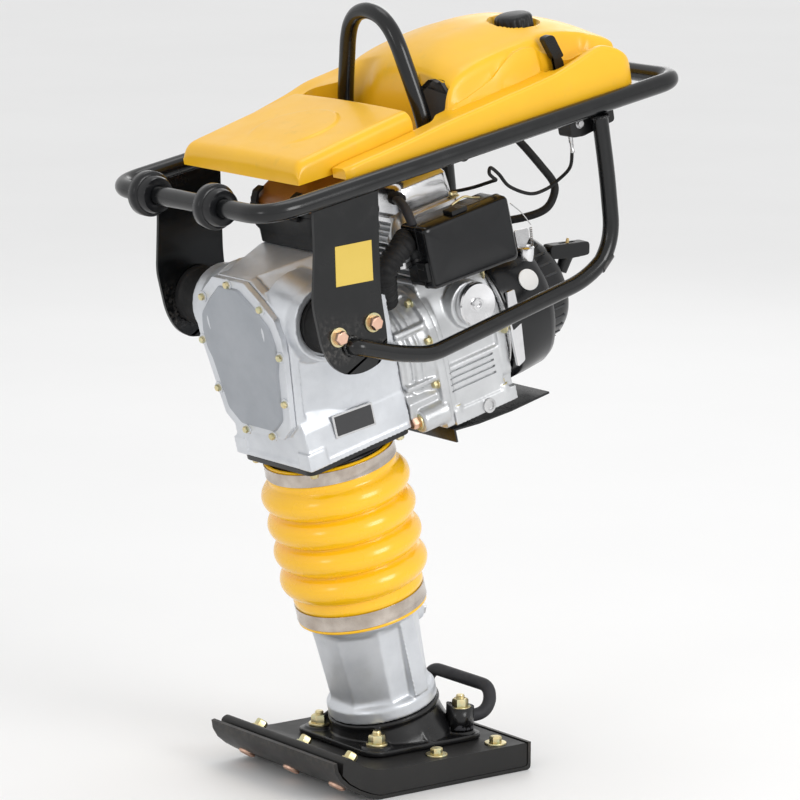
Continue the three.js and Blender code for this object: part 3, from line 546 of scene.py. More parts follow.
def shoe():
    """A steel sole with a curled toe and a rear lip, and the filler block it holds."""
    t = 5
    under = [(-132, 0), (-150, 5), (-168, 13), (-186, 24), (-199, 35), (-207, 48), (-209, 60)]
    upper = [(-204, 61), (-202, 50), (-195, 38.5), (-183, 28), (-166, 17.8), (-149, 10), (-132, t)]
    rear = [(115.3, 0, 4), (123.3, 0, 7), (123.3, 38.9), (118.3, 38.9), (118.3, 6, 4), (112, t)]
    sole = rounded([*rear, *[(y, z) for y, z in reversed(upper)], *reversed(under)], 5)
    piece("sole_plate", [prism(sole, -SHOE_HALF, SHOE_HALF, "X")], ROW, "foot", [SHOE],
          ["shoe_plate"], bevel=1.2, sharp=40)
    top = [
        (117.3, 7, 3), (117.3, 38, 4), (-118, 38, 16), (-152, 45, 12), (-172, 56.5, 8), (-183, 65, 6),
        (-193, 60, 4),
        (-194, 42), (-182, 29.5), (-165, 18.8), (-148, 11), (-131, 5.4), (114, 5.4),
    ]
    piece("filler_block", [prism(rounded(top, 5), -SHOE_HALF + 1, SHOE_HALF - 1, "X")], ROW, "foot",
          [SHOE_TOP], ["shoe_block"], bevel=3, sharp=40, segments=3)
    side = [(x, y, 38) for x in (-119, 119) for y in (-21, 80)]
    row_of_bolts("shoe_side_bolts", side, (0, 0, 1), ROW, "foot", across=15, height=8, washer=15,
                 washer_height=2.2)
    slope = Vector((0, 26, -21)).normalized().cross(Vector((1, 0, 0)))
    slope = -slope if slope.z < 0 else slope
    toe = [(x, -157, 48.3) for x in (-104, 0, 104)]
    row_of_bolts("shoe_toe_bolts", toe, tuple(slope), ROW, "foot", across=15, height=10, washer=11,
                 washer_height=2)
    heads = [(x, -176, 17.6) for x in (-104, 0, 104)]
    parts = [turned([(12, -1), (12, 2.4), (9, 4)], at, (0, -0.53, -0.85), 28) for at in heads]
    piece("shoe_toe_heads", parts, ROW, "foot", [COPPER], bevel=0.4)


LUGS = [(-66, -82), (66, -82), (66, 60), (-66, 60)]


def foot():
    """The black casting that clamps the leg to the shoe, its studs and the rubber pull handle."""
    lean = Matrix.Rotation(LEG_LEAN, 4, "X")
    outline = round_box((-92, -108), (92, 86), 26)
    plate = prism(outline, 38.6, 46.5)
    cone = moved(revolve([(87.5, 12), (86, 44), (80, 60), (75, 78), (74.5, 89.6)], 96), lean)
    pads = [rod((x, y, 39), (x, y, 50), 24, 20) for x, y in LUGS]
    ribs = []
    for x, y in (lug for lug in LUGS if lug[1] < 0):
        inner = Vector((x, y + 10, 0)).normalized() * 70
        out = Vector((x, y + 10, 0)).normalized() * 108
        across = Vector((0, 0, 1)).cross(out).normalized() * 3.2
        base = [inner - across, out - across, out + across, inner + across]
        ring_low = [(p.x, p.y - 10, 40) for p in base]
        ring_high = [(p.x, p.y - 12, h) for p, h in zip(base, (82, 52, 52, 82))]
        ribs.append(loft([ring_low, ring_high]))
    side_ribs = [
        loft([[(s * 70, -6, 40), (s * 92, -6, 40), (s * 92, 1, 40), (s * 70, 1, 40)],
              [(s * 68, -16, 84), (s * 84, -14, 52), (s * 84, -7, 52), (s * 68, -9, 84)]])
        for s in (1, -1)
    ]
    pockets = [rod((x, y, 50), (x, y, 96), 19.5) for x, y in LUGS]
    pockets.append(box((-130, -150, -20), (130, 140, 38.4)))
    collar = moved(revolve([(76, 82), (77.5, 84), (77.5, 88.6), (76, 90)], 96), lean)
    casting("foot_casting", [plate, cone, *pads, *ribs, *side_ribs, collar], ROW, "foot",
            BLACK_CAST,
            ["foot_flange"], voxel=1.6, soften=5, cuts=pockets)
    parts = []
    for i, (x, y) in enumerate(LUGS):
        base = 79.4 if y > 0 else 50.4
        parts += fastener((x, y, base), (0, 0, 1), across=20, height=11, washer=14.8, washer_height=3)
        parts.append(moved(stud_end(6.2, 12, 19.5), Matrix.Translation((x, y, base))))
    piece("foot_studs", parts, ROW, "foot", [ZINC, COPPER], [f"foot_nut_{i}" for i in (1, 2, 3, 4)],
          bevel=0.4, sharp=50)
    pull_handle()


def pull_handle():
    x, y = LUGS[2]
    path = bent([
        (x, y, 66), (x + 6, y + 44, 68, 20), (x + 2, y + 52, 102, 20), (-x - 2, y + 52, 102, 20),
        (-x - 6, y + 44, 68, 20), (-x, y, 66),
    ], 12)
    eyes = [rod((at, y, 50.8), (at, y, 78.8), 18.8, 17, 48) for at in (x, -x)]
    holes = [rod((at, y, 74), (at, y, 90), 8, None, 32) for at in (x, -x)]
    casting("pull_handle", [tube(path, 9), *eyes], ROW, "foot", GREY_RUBBER, ["foot_handle"],
            voxel=1.3, soften=7, cuts=holes)


def leg():
    """The lower leg: soft facets between a clamping ring and the bellows seat, a raised pad on each side."""
    sides = 128
    rings = []
    for w, radius, facet in [
        (90.6, 74.6, 0), (92, 75.6, 0), (107, 75.6, 0), (110.5, 73.5, 0.2), (114, 69.5, 1), (120, 68.2, 1),
        (150, 69.6, 1),
        (200, 72.6, 1), (215, 73.8, 1), (222, 76, 0.4), (226, 79.6, 0), (230, 80, 0), (262, 80, 0),
    ]:
        ring = []
        for i in range(sides):
            a = 2 * math.pi * i / sides
            local = (a + math.pi / 8) % (math.pi / 4) - math.pi / 8
            flat = radius * math.cos(math.pi / 8) / math.cos(local)
            blend = 0.85 * facet
            r = radius * (1 - blend) + (flat + radius * 0.018) * blend
            ring.append((r * math.cos(a), r * math.sin(a), w))
        rings.append(ring)
    body = loft(rings)
    pads = []
    for angle in (14, 166):
        turn = Matrix.Rotation(math.radians(angle), 4, "Z")
        pads.append(moved(box((60, -14, 112), (75.5, 14, 221)), turn))
    boss = rod((0, 56, 196), (0, 87.5, 196), 19, 15.5, 48)
    casting("leg_body", [body, *pads, boss], LEG, "foot", SILVER, ["leg_casting"], voxel=1.7,
            soften=5,
            holes=[rod((0, 80, 196), (0, 92, 196), 9.3)])
    parts = [rod((0, 74.5, 196), (0, 88.4, 196), 8.5)]
    parts += [moved(p, towards((0, 88.3, 196), (0, 1, 0))) for p in bolt_head(20.5, 6, 12, 1.5)]
    piece("drain_plug", parts, LEG, "foot", [STEEL], ["oil_plug"], bevel=0.4, sharp=40)


def bellows():
    """Four round folds between plain cuffs, with a moulding ridge under each."""
    profile = [(87.4, 231), (88.6, 232), (88.8, 235), (87.7, 235.6), (87.7, 258), (88.9, 259), (89.4, 264),
               (88.6, 268)]
    for i in range(4):
        middle = 293 + i * 40.6
        for k in range(-8, 9):
            t = k / 8
            profile.append((87.4 + 14.2 * (max(0.0, math.cos(t * math.pi / 2)) ** 0.62), middle + t * 19.4))
    profile += [(88.4, 440), (89, 443), (87.7, 445), (87.7, 465), (88.6, 466), (87.8, 467)]
    inner = [(84.2, 467), (84.2, 231)]
    made = revolve([*profile, *inner], 128, closed=True)
    obj = mesh_object("bellows_boot", [made], LEG, [BELLOWS], 75)
    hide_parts("bellows")
    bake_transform(obj)


def band(name, low, high, body, node):
    """A stainless band clamp with rolled edges and its worm screw."""
    r = 88.1
    profile = [(r, low), (r + 1.3, low), (r + 1.5, low + 0.8), (r + 1.2, low + 1.6), (r + 1.2, high - 1.6),
               (r + 1.5, high - 0.8), (r + 1.3, high), (r, high)]
    parts = [revolve(profile, 128, closed=True)]
    middle = (low + high) / 2
    housing = [(r - 0.2, middle - 7), (r + 9, middle - 5), (r + 9, middle + 5), (r - 0.2, middle + 7)]
    shape = prism(rounded([(a, b, 1.5) for a, b in housing]), -9, 9, "Y")
    screw = rod((r + 4, -17, middle), (r + 4, 16, middle), 3.4)
    head = moved(bolt_head(7, 5)[0], towards((r + 4, -16.9, middle), (0, -1, 0)))
    turn = Matrix.Rotation(math.radians(118), 4, "Z")
    parts += [moved(p, turn) for p in (shape, screw, head)]
    piece(name, parts, LEG, body, [BAND], [node], bevel=0.25, sharp=50)


# ---------------------------------------------------------------- crankcase

COVER_HALF = [(36, 742), (64, 721), (90, 697), (96.5, 674), (95, 648), (88, 611), (75, 542), (52, 523)]
BACK_HALF = [(61, 749.5), (76, 734), (86, 716), (88, 690), (86, 650), (84, 611), (81, 560), (80, 523)]
MOUNT = (-36.5, 676)


def cover_outline(inset, bend=3):
    points = [(x - inset, w + math.copysign(inset * 0.75, 640 - w), bend) for x, w in COVER_HALF]
    return rounded(mirrored(points), 3)


def crankcase():
    flange = prism(cover_outline(0), -88, -74, "Y")
    front, back = mirrored([(x - 6, w) for x, w in COVER_HALF]), mirrored(BACK_HALF)
    shell = loft([[(x, v, w) for x, w in ring] for ring, v in ((front, -78), (back, 4), (back, 83.6))])
    lower = prism(mirrored([(83, 478.4), (83, 505), (81, 530), (70, 566)]), -84, 83.8, "Y")
    skirt = prism(round_box((-84.6, -87), (84.6, 84), 5), 478.4, 486)
    corner = [box((60 if s > 0 else -85.6, -88, 479), (85.6 if s > 0 else -60, -58, 503)) for s in (1, -1)]
    v, w = MOUNT
    bosses = [turned([(66, 0), (59, 20), (54, 33), (51.5, 38), (51, 57.8)], (s * 60, v, w), (s, 0, 0), 96)
              for s in (1, -1)]
    ribs = []
    for s in (1, -1):
        low, high = (70, 93) if s > 0 else (-93, -70)
        ribs.append(prism([(v + 34, w - 34), (83.6, w - 78), (83.6, w - 88), (v + 26, w - 48)], low, high,
                          "X"))
    seats = [rod((s * 113, v, w), (s * 121, v, w), 44, None, 64) for s in (1, -1)]
    casting("crankcase_body", [flange, shell, lower, skirt, *corner, *bosses, *ribs], LEG, "upper",
            SILVER, ["crankcase"], voxel=1.8, soften=3, holes=seats)
    gear_cover()
    nameplate = rounded([(-38, 508, 1), (28, 504, 1), (28, 536, 1), (-38, 540, 1)], 3)
    inner = rounded([(-35, 510.6, 1), (25.5, 506.6, 1), (25.5, 533.6, 1), (-35, 537.6, 1)], 3)
    piece("blank_nameplate_rim", [prism(nameplate, 82.8, 84.8, "X")], LEG, "upper", [STEEL],
          bevel=0.3)
    piece("blank_nameplate", [prism(inner, 84.6, 85.2, "X")], LEG, "upper", [PLATE_DARK],
          bevel=0.2)


def gear_cover():
    rim = prism(cover_outline(0.4), -98, -88.4, "Y")
    piece("cover_rim", [rim], LEG, "upper", [SILVER], ["gear_cover"], bevel=1.6, segments=3)
    panel = cover_outline(13.5, 4)
    top = cover_outline(16, 4)
    shape = loft([[(a, -97.8, b) for a, b in panel], [(a, -100.9, b) for a, b in top]])
    # The front panel takes the darkened silver casting as painted shade.
    piece("cover_panel", [shape], LEG, "upper", [SILVER_PAINTED_SHADE], bevel=0.8, segments=3)
    spots = [(0, 735.5), (66, 710), (88, 646), (76, 579), (30, 526.5)]
    spots += [(-x, w) for x, w in spots if x]
    bosses = [turned([(8.2, 0), (7.6, 1.6)], (x, -97.9, w), (0, -1, 0), 28) for x, w in spots]
    piece("cover_bosses", bosses, LEG, "upper", [SILVER], bevel=0.4)
    row_of_bolts("cover_bolts", [(x, -98.2, w) for x, w in spots], (0, -1, 0), LEG, "upper",
                 across=8.5, height=4.6, washer=5.8, washer_height=1)


def flange():
    outline = round_box((-78, -84), (78, 85.6), 14, 8)
    plate = prism(outline, 469.5, 477.6)
    collar = revolve([(67, 441), (82.4, 441), (82.4, 470), (67, 470)], 96, closed=True)
    piece("flange_ring", [plate, collar], LEG, "upper", [BLACK], ["flange_plate"], bevel=1.2)
    spots = [(x, v, 469.6) for x in (-66, 66) for v in (-72, 73)] + [(0, -77, 469.6)]
    row_of_bolts("flange_bolts", spots, (0, 0, -1), LEG, "upper", across=10.5, height=7, washer=0)


def handle_mounts():
    v, w = MOUNT
    for name, s in SIDES:
        lathe = [(40, 0.6), (40, 7.5), (36.5, 9), (34.5, 20), (34.5, 38), (37, 50), (40, 53), (40, 61.6)]
        part = turned(lathe, (s * 113.2, v, w), (s, 0, 0), 96)
        piece(f"rubber_mount_{name}", [part], LEG, "upper", [RUBBER],
              [f"handle_mount_{name}"],
              bevel=1.0)


# ---------------------------------------------------------------- handle frame


def handle_frame():
    x, front, rear = 177.2, -129.8, 563
    corners = [(x, front, 0, 47), (-x, front, 0, 47), (-x, rear, 0, 38), (x, rear, 0, 38)]
    loop = []
    for i, (px, ps, ph, bend) in enumerate(corners):
        loop += bent([corners[i - 1][:3], (px, ps, ph, bend), corners[(i + 1) % 4][:3]], 14)[1:-1]
    piece("handle_tube", [tube(loop, 12.5, 32, closed=True)], HANDLE, "handle", [BLACK],
          ["handle_loop"], sharp=60)
    bail()
    for name, s in SIDES:
        bracket(name, s)
        guard(name, s)
        spin = "roller_a" if s > 0 else "roller_b"
        roller(name, 61 if s > 0 else -89, spin)


def bail():
    s, drop = 198.3, 8
    half = [(88, -drop), (87.4, 14), (83.4, 42), (74.5, 72), (64.6, 102), (54.8, 130), (43, 150.5),
            (25, 165), (0, 170.6)]
    arch = smooth_path([(x, s, h) for x, h in half + [(-x, h) for x, h in reversed(half[:-1])]], 6)
    cross = [(-164.3, s, -drop), (164.3, s, -drop)]
    piece("lifting_tube", [tube(arch, 11, 32), tube(cross, 10.9, 32)], HANDLE, "handle",
          [BLACK],
          ["lifting_bail"], sharp=60)
    piece("bail_welds", [weld_bead((x, s, 3.4), (0, 0, 1), 11.4, 1.8) for x in (88, -88)], HANDLE, "handle",
          [BLACK], sharp=80)


def weld_bead(at, axis, radius, bead=2.4, waves=9):
    """A lumpy fillet of weld round a tube end."""
    matrix = towards(at, axis)
    path = []
    for k in range(72):
        a = 2 * math.pi * k / 72
        r = radius + 0.7 * math.sin(waves * a) + 0.4 * math.sin(2.3 * waves * a)
        path.append(matrix @ Vector((r * math.cos(a), r * math.sin(a), 0.4 * math.sin(1.7 * waves * a))))
    return tube(path, bead, 8, closed=True)


def bracket(name, s):
    def under(v):
        return HANDLE_HEIGHT - 12.9 + math.tan(HANDLE_TILT) * v

    outline = rounded([
        (-62, under(-62)), (-71, 800, 16), (-92, 728, 12), (-92, 668, 16), (-80, 632, 22), (-38, 612, 30),
        (6, 626, 22), (11, 660, 14), (14, 712, 20), (42, under(42)),
    ], 8)
    low, high = (175.7, 180.4) if s > 0 else (-180.4, -175.7)
    piece(f"bracket_{name}", [prism(outline, low, high, "X")], LEG, "handle", [BLACK],
          [f"side_bracket_{name}"], bevel=1.0)
    spots = [(s * 180.5, v, 676) for v in (-65, -8)]
    parts = [p for at in spots for p in fastener(at, (s, 0, 0), across=17, height=9, washer=13,
                                                 washer_height=2.4,
                                                 head=1)]
    piece(f"bracket_bolts_{name}", parts, LEG, "handle", [ZINC, COPPER], bevel=0.4, sharp=40)
    if s > 0:
        card = [(-52, 740), (6, 729), (16, 781), (-41, 791)]
        piece("blank_label", [prism(card, 180.35, 180.95, "X")], LEG, "handle",
              [LABEL_YELLOW],
              bevel=0.15)


def guard(name, s):
    path = bent([
        (s * 180.9, -48, 658), (s * 191.6, -48, 658, 9), (s * 191.6, 16, 625, 22), (s * 190, 66, 606, 20),
        (s * 181, 352, 611, 40), (s * 178, 399, 640, 40), (s * 178, 411, 735, 24), (s * 178, 417.3, 817),
    ], 12)
    parts = [tube(path, 11, 32), weld_bead((s * 182.6, -48, 658), (s, 0, 0), 11.6)]
    parts.append(weld_bead((s * 178, 417, 815), (0, 0.04, 1), 11.2, 1.6))
    piece(f"guard_{name}", parts, LEG, "handle", [BLACK], [f"guard_tube_{name}"], sharp=60)


def roller(name, x, body):
    profile = [
        (13, -21.6), (18.5, -22), (19.2, -20), (19.8, -12), (21.5, -9.5), (28.5, -8.2), (30, -6.6),
        (30, 5.8), (28.6, 7.4),
        (25.6, 8.4), (24.8, 11.5), (24.2, 19), (22.6, 21.6), (16, 22), (13, 21.4),
    ]
    part = turned(profile, (x, -129.8, 0), (1, 0, 0), 96, closed=True)
    piece(f"roller_wheel_{name}", [part], HANDLE, body, [PLASTIC_GLOSS], [f"roller_{name}"],
          sharp=50)


PLASTIC_GLOSS = plastic("gloss_black_plastic", (0.005, 0.0053, 0.006), (0.009, 0.0095, 0.011), 0.2, 0.0, 0.15)

# ---------------------------------------------------------------- moulded tank and hood


def spaced(low, high, step):
    n = max(1, round((high - low) / step))
    return [low + (high - low) * i / n for i in range(n + 1)]


def curve_at(points, x):
    """Smooth interpolation through (x, y) points."""
    if x <= points[0][0]:
        return points[0][1]
    for (x0, y0), (x1, y1) in zip(points, points[1:]):
        if x <= x1:
            i = points.index((x0, y0))
            before = points[max(i - 1, 0)]
            after = points[min(i + 2, len(points) - 1)]
            m0 = (y1 - before[1]) / (x1 - before[0])
            m1 = (after[1] - y0) / (after[0] - x0)
            d = x1 - x0
            t = (x - x0) / d
            return ((2 * t**3 - 3 * t * t + 1) * y0 + (t**3 - 2 * t * t + t) * d * m0
                    + (3 * t * t - 2 * t**3) * y1 + (t**3 - t * t) * d * m1)
    return points[-1][1]


def soft_max(a, b, k):
    h = max(k - abs(a - b), 0) / k
    return max(a, b) + h * h * k / 4


def step_between(x, low, high):
    t = min(max((x - low) / (high - low), 0), 1)
    return t * t * (3 - 2 * t)


NEAR_CREST = [(10, 22), (27, 25), (102, 31), (186, 40), (272, 47), (359, 54.5), (404, 63), (436, 71),
              (452, 71.5),
              (466, 67), (480, 59), (494, 46), (501, 30), (504, 11)]
FAR_CREST = [(10, 24), (102, 42), (156, 52), (190, 60), (232, 64), (272, 67.5), (359, 71), (404, 73),
             (436, 75),
             (452, 73), (466, 68), (480, 59), (494, 46), (501, 30), (504, 11)]
RIDGE = [(211, 22), (214, 44), (219, 66), (228, 84), (242, 96), (262, 104), (290, 110), (325, 114),
         (360, 116),
         (390, 115), (413, 112), (437, 106), (460, 98), (480, 89.5), (495, 81.5), (505, 73), (512, 62),
         (517, 47),
         (519.6, 20)]
ACROSS = [(0, 1.0), (30, 0.995), (60, 0.955), (90, 0.89), (110, 0.845), (117, 0.80), (120.5, 0.70),
          (122.5, 0.5),
          (124, 0.25), (126, 0.0)]
LOBE = [(206, 9), (218, 40), (250, 52), (289, 64), (309, 77), (330, 88), (350, 91), (366, 87), (382, 76),
        (410, 60),
        (450, 48)]


TANK_HALF = 165
TANK_LOW = 8.2
SKIRT_REAR = 504
HUMP_FRONT = 211
HUMP_ROWS = 210
CAP_AT = (45, 400)
SLOT_AT = (131, 416)


def tank_half_width(s):
    corner = 26
    if s > SKIRT_REAR - corner:
        t = min((s - (SKIRT_REAR - corner)) / corner, 1)
        return TANK_HALF - 24 * (1 - math.sqrt(max(0, 1 - t * t)))
    return TANK_HALF - 4 * (1 - step_between(s, 10, 20))


def tank_inner(s):
    return 108 + 25 * (1 - step_between(s, 172, 212))


def tank_height(x, s):
    x_abs = abs(x)
    width = tank_half_width(s)
    crest = curve_at(NEAR_CREST if x > 0 else FAR_CREST, s)
    inward = step_between(width - x_abs, 8, 30)
    ledge = crest - 1.5 * inward
    trough = 12 * step_between(s, 372, 400) * (1 - step_between(s, 452, 478))
    ledge -= trough * step_between(width - x_abs, 10, 24)
    edge = max(0.0, x_abs - (width - 5))
    ledge -= 5 - math.sqrt(max(0, 25 - edge * edge))
    hump = curve_at(RIDGE, s) * curve_at(ACROSS, x_abs) if s > HUMP_FRONT else 0
    if x > 0:
        pocket = step_between(s, 378, 394) * (1 - step_between(s, 446, 466)) * step_between(x_abs, 108, 118)
        hump -= 20 * pocket
    front = (s - HUMP_FRONT) / 30
    if 0 < front < 1:
        valley = 24 * math.exp(-(((x + 72) / 20) ** 2)) * (1 - front) ** 0.7
        hump -= valley
    if s < 227 and 53 < x < 114:
        return 9
    lobe = 0
    if x > 0:
        lobe = curve_at(LOBE, s) * (1 - step_between(x_abs, 124, 134)) * step_between(x_abs, 90, 116)
    h = soft_max(ledge if x_abs > 105 else 0, soft_max(hump, lobe, 6), 6)
    cap_distance = math.hypot(x - CAP_AT[0], s - CAP_AT[1])
    if cap_distance < 40:
        h = min(h, 96 + 60 * step_between(cap_distance, 32, 38))
    if x > 0:
        slot = 1 - step_between(abs(x - SLOT_AT[0]), 6.3, 7.6)
        along = 1 - step_between(abs(s - SLOT_AT[1]), 42, 44)
        h -= 24 * slot * along
    return max(h, 9)


def open_edges(edges):
    return [e for e in edges if isinstance(e, bmesh.types.BMEdge) and len(e.link_faces) == 1]


def drawn_on(bm, rim, change):
    """Extrudes open edges, moves each new point by change in the handle frame, and gives the new rim."""
    made = bmesh.ops.extrude_edge_only(bm, edges=rim)["geom"]
    inverse = HANDLE.inverted()
    for v in (g for g in made if isinstance(g, bmesh.types.BMVert)):
        v.co = HANDLE @ Vector(change(inverse @ v.co))
    return open_edges(made)


def tank():
    """The tank's skin as a height over the rail plane, closed below, with a window where the bail stands."""
    edge = [0, 0.2, 0.7, 1.4, 2.4, 3.6, 5, 7, 10, 14]
    rows = [*spaced(10, 200, 5), *spaced(203, 262, 1.8), *spaced(265, 476, 3), *spaced(478, 503.5, 1.3)]
    arm_count, middle = 34, 76
    points, faces, index = [], [], {}

    def vertex(key, x, s):
        index[key] = len(points)
        points.append((x, s, tank_height(x, s)))

    for r, s in enumerate(rows):
        width, inner = tank_half_width(s), tank_inner(s)
        start = width - edge[-1]
        arm = [start + (inner - start) * k / arm_count for k in range(1, arm_count + 1)]
        for side in (1, -1):
            for c, x in enumerate([width - e for e in edge] + arm):
                vertex((r, side, c), side * x, s)
        if s >= HUMP_ROWS:
            for m in range(1, middle):
                vertex((r, 0, m), inner - 2 * inner * m / middle, s)
    last = len(edge) + arm_count - 1
    window_end = next(r for r, s in enumerate(rows) if s >= HUMP_ROWS)

    def centre(r, m):
        return index[(r, 1, last) if m == 0 else (r, -1, last) if m == middle else (r, 0, m)]

    for r in range(len(rows) - 1):
        for side in (1, -1):
            for c in range(last):
                faces.append((index[(r, side, c)], index[(r, side, c + 1)], index[(r + 1, side, c + 1)],
                              index[(r + 1, side, c)]))
        if r >= window_end:
            for m in range(middle):
                faces.append((centre(r, m), centre(r, m + 1), centre(r + 1, m + 1), centre(r + 1, m)))
    previous = [centre(len(rows) - 1, m) for m in range(middle + 1)]
    for s in spaced(505, 519.4, 1.2):
        narrow = 1 - 0.06 * step_between(s, SKIRT_REAR, 520)
        row = []
        for m in range(middle + 1):
            x = points[previous[m]][0] * narrow
            row.append(len(points))
            points.append((x, s, tank_height(x, s)))
        for m in range(middle):
            faces.append((previous[m], previous[m + 1], row[m + 1], row[m]))
        previous = row

    def walls(bm):
        bottom = drawn_on(bm, open_edges(bm.edges), lambda p: (p.x, p.y, TANK_LOW))
        bmesh.ops.contextual_create(bm, geom=bottom)

    obj = mesh_object("tank_moulding", [(points, faces)], HANDLE, [YELLOW], 50, walls)
    settle(obj, "handle", ["fuel_tank"])
    arch = rounded([(52, 12), (52, 52, 16), (64, 76, 22), (100, 78, 22), (114, 62, 16), (114, 12)], 8)
    piece("tank_arch_panel", [prism(arch, 223, 230, "Y")], HANDLE, "handle", [SLATE],
          bevel=0.6)
    lining = [box((124.8, 374, 30), (137.2, 458, 41))]
    piece("throttle_slot_lining", lining, HANDLE, "handle", [PLASTIC], bevel=0.5)


def hood_height(x, s):
    crown = curve_at([(-43, 38), (-28, 43), (0, 46.5), (60, 53.5), (120, 60), (148, 62.5)],
                     s) - 2.4 * (x / 128) ** 2
    ring = math.hypot((x - 6) / 66, (s - 46) / 62)
    relief = (1 - step_between(ring, 0.93, 1.0)) * step_between(s, -6, 36)
    return crown + 2.2 * relief


def hood():
    """The hood as a height over the rail plane with rounded edges, open below."""
    offsets = [0, 0.3, 1, 2.2, 3.8, 6, 9, 12.5]
    rows = [-43 + d for d in offsets] + spaced(-27, 139, 2.5) + [148 - d for d in (5.5, 3.4, 1.8, 0.7, 0)]
    half = 130.4
    xs = [half - o for o in offsets] + list(reversed(spaced(-114, 114,
                                                            2.5))) + [-(half - o) for o in reversed(offsets)]
    points, faces = [], []
    for s in rows:
        for x in xs:
            drop = 0
            for depth, radius in ((abs(x) - (half - 12), 12), (-s - 31, 12), (s - 142, 6)):
                inside = min(max(depth, 0), radius)
                drop += radius - math.sqrt(radius * radius - inside * inside)
            points.append((x, s, max(hood_height(x, s) - drop, 20)))
    n = len(xs)
    for r in range(len(rows) - 1):
        for c in range(n - 1):
            faces.append((r * n + c, r * n + c + 1, (r + 1) * n + c + 1, (r + 1) * n + c))

    def walls(bm):
        rim = open_edges(bm.edges)
        for narrow, deep, low in ((1, 1, 11.2), (0.97, 0.965, 11.2), (0.99, 0.99, 24)):
            rim = drawn_on(bm, rim, lambda p: (p.x * narrow, 52 + (p.y - 52) * deep, low))
        bmesh.ops.contextual_create(bm, geom=rim)

    obj = mesh_object("hood_moulding", [(points, faces)], HANDLE, [YELLOW], 50, walls)
    settle(obj, "handle", ["front_hood"])


def fuel_cap():
    sides = 144
    rings = []
    for h, r, rib in [(94.8, 25.6, 0), (95.4, 26.2, 0), (96.5, 26.6, 1), (112, 26.0, 1), (114.6, 25.4, 0.6),
                      (117, 23.6, 0),
                      (118.6, 20.5, 0), (119.4, 12, 0), (119.6, 0.01, 0)]:
        ring = []
        for i in range(sides):
            a = 2 * math.pi * i / sides
            radius = r - 1.5 * rib * (0.5 - 0.5 * math.cos(18 * a)) ** 2
            ring.append((CAP_AT[0] + radius * math.cos(a), CAP_AT[1] + radius * math.sin(a), h))
        rings.append(ring)
    piece("cap_ribbed", [loft(rings)], HANDLE, "cap", [PLASTIC], ["fuel_cap"], sharp=40)


def throttle():
    x, s, h = SLOT_AT[0], 398, -24
    arm = rounded([(s - 9, h - 9, 8), (s + 9, h - 9, 8), (s + 8, 60), (s - 8, 96, 5), (s - 16, 96, 5),
                   (s - 8, 60)], 6)
    knob = rounded([(s - 9, 66, 4), (s + 8, 67, 4), (s - 5, 100.6, 7), (s - 22.6, 99, 7)], 6)
    parts = [prism(arm, x - 2.3, x + 2.3, "X"), prism(knob, x - 5.4, x + 5.4, "X")]
    for i in range(6):
        z = 71 + i * 4.4
        shift = s - 0.42 * (z - 66)
        parts.append(prism([(shift - 8, z - 1), (shift + 7, z + 0.6), (shift + 6.6, z + 2.2),
                            (shift - 8.6, z + 0.8)],
                           x - 5.95, x + 5.95, "X"))
    piece("throttle_handle", parts, HANDLE, "throttle", [PLASTIC], ["throttle_lever"],
          bevel=0.8)
    shell = rounded([(s - 20, -36, 5), (s, -38.6, 3), (s + 56, -32, 5), (s + 56, -7, 4), (s - 20, -7, 4)], 5)
    parts = [(*prism(shell, x + 6, 164, "X"), 0)]
    screw = fastener((163.9, s - 4, -20), (1, 0, 0), across=9, height=3.6, washer=6.8, washer_height=1.4)
    parts += [(*p[:2], 1) for p in screw]
    piece("throttle_box", parts, HANDLE, "handle", [BLACK_CAST, STEEL], ["throttle_bracket"],
          bevel=0.8)
    ferrule = [turned([(3.2, 0), (3.2, 8), (2.4, 9), (2.4, 17), (3, 18), (3, 22)], (147, s - 9, -38.6),
                      (0, 0, -1), 24)]
    piece("cable_ferrule", ferrule, HANDLE, "handle", [STEEL], sharp=50)


# ---------------------------------------------------------------- air cleaner


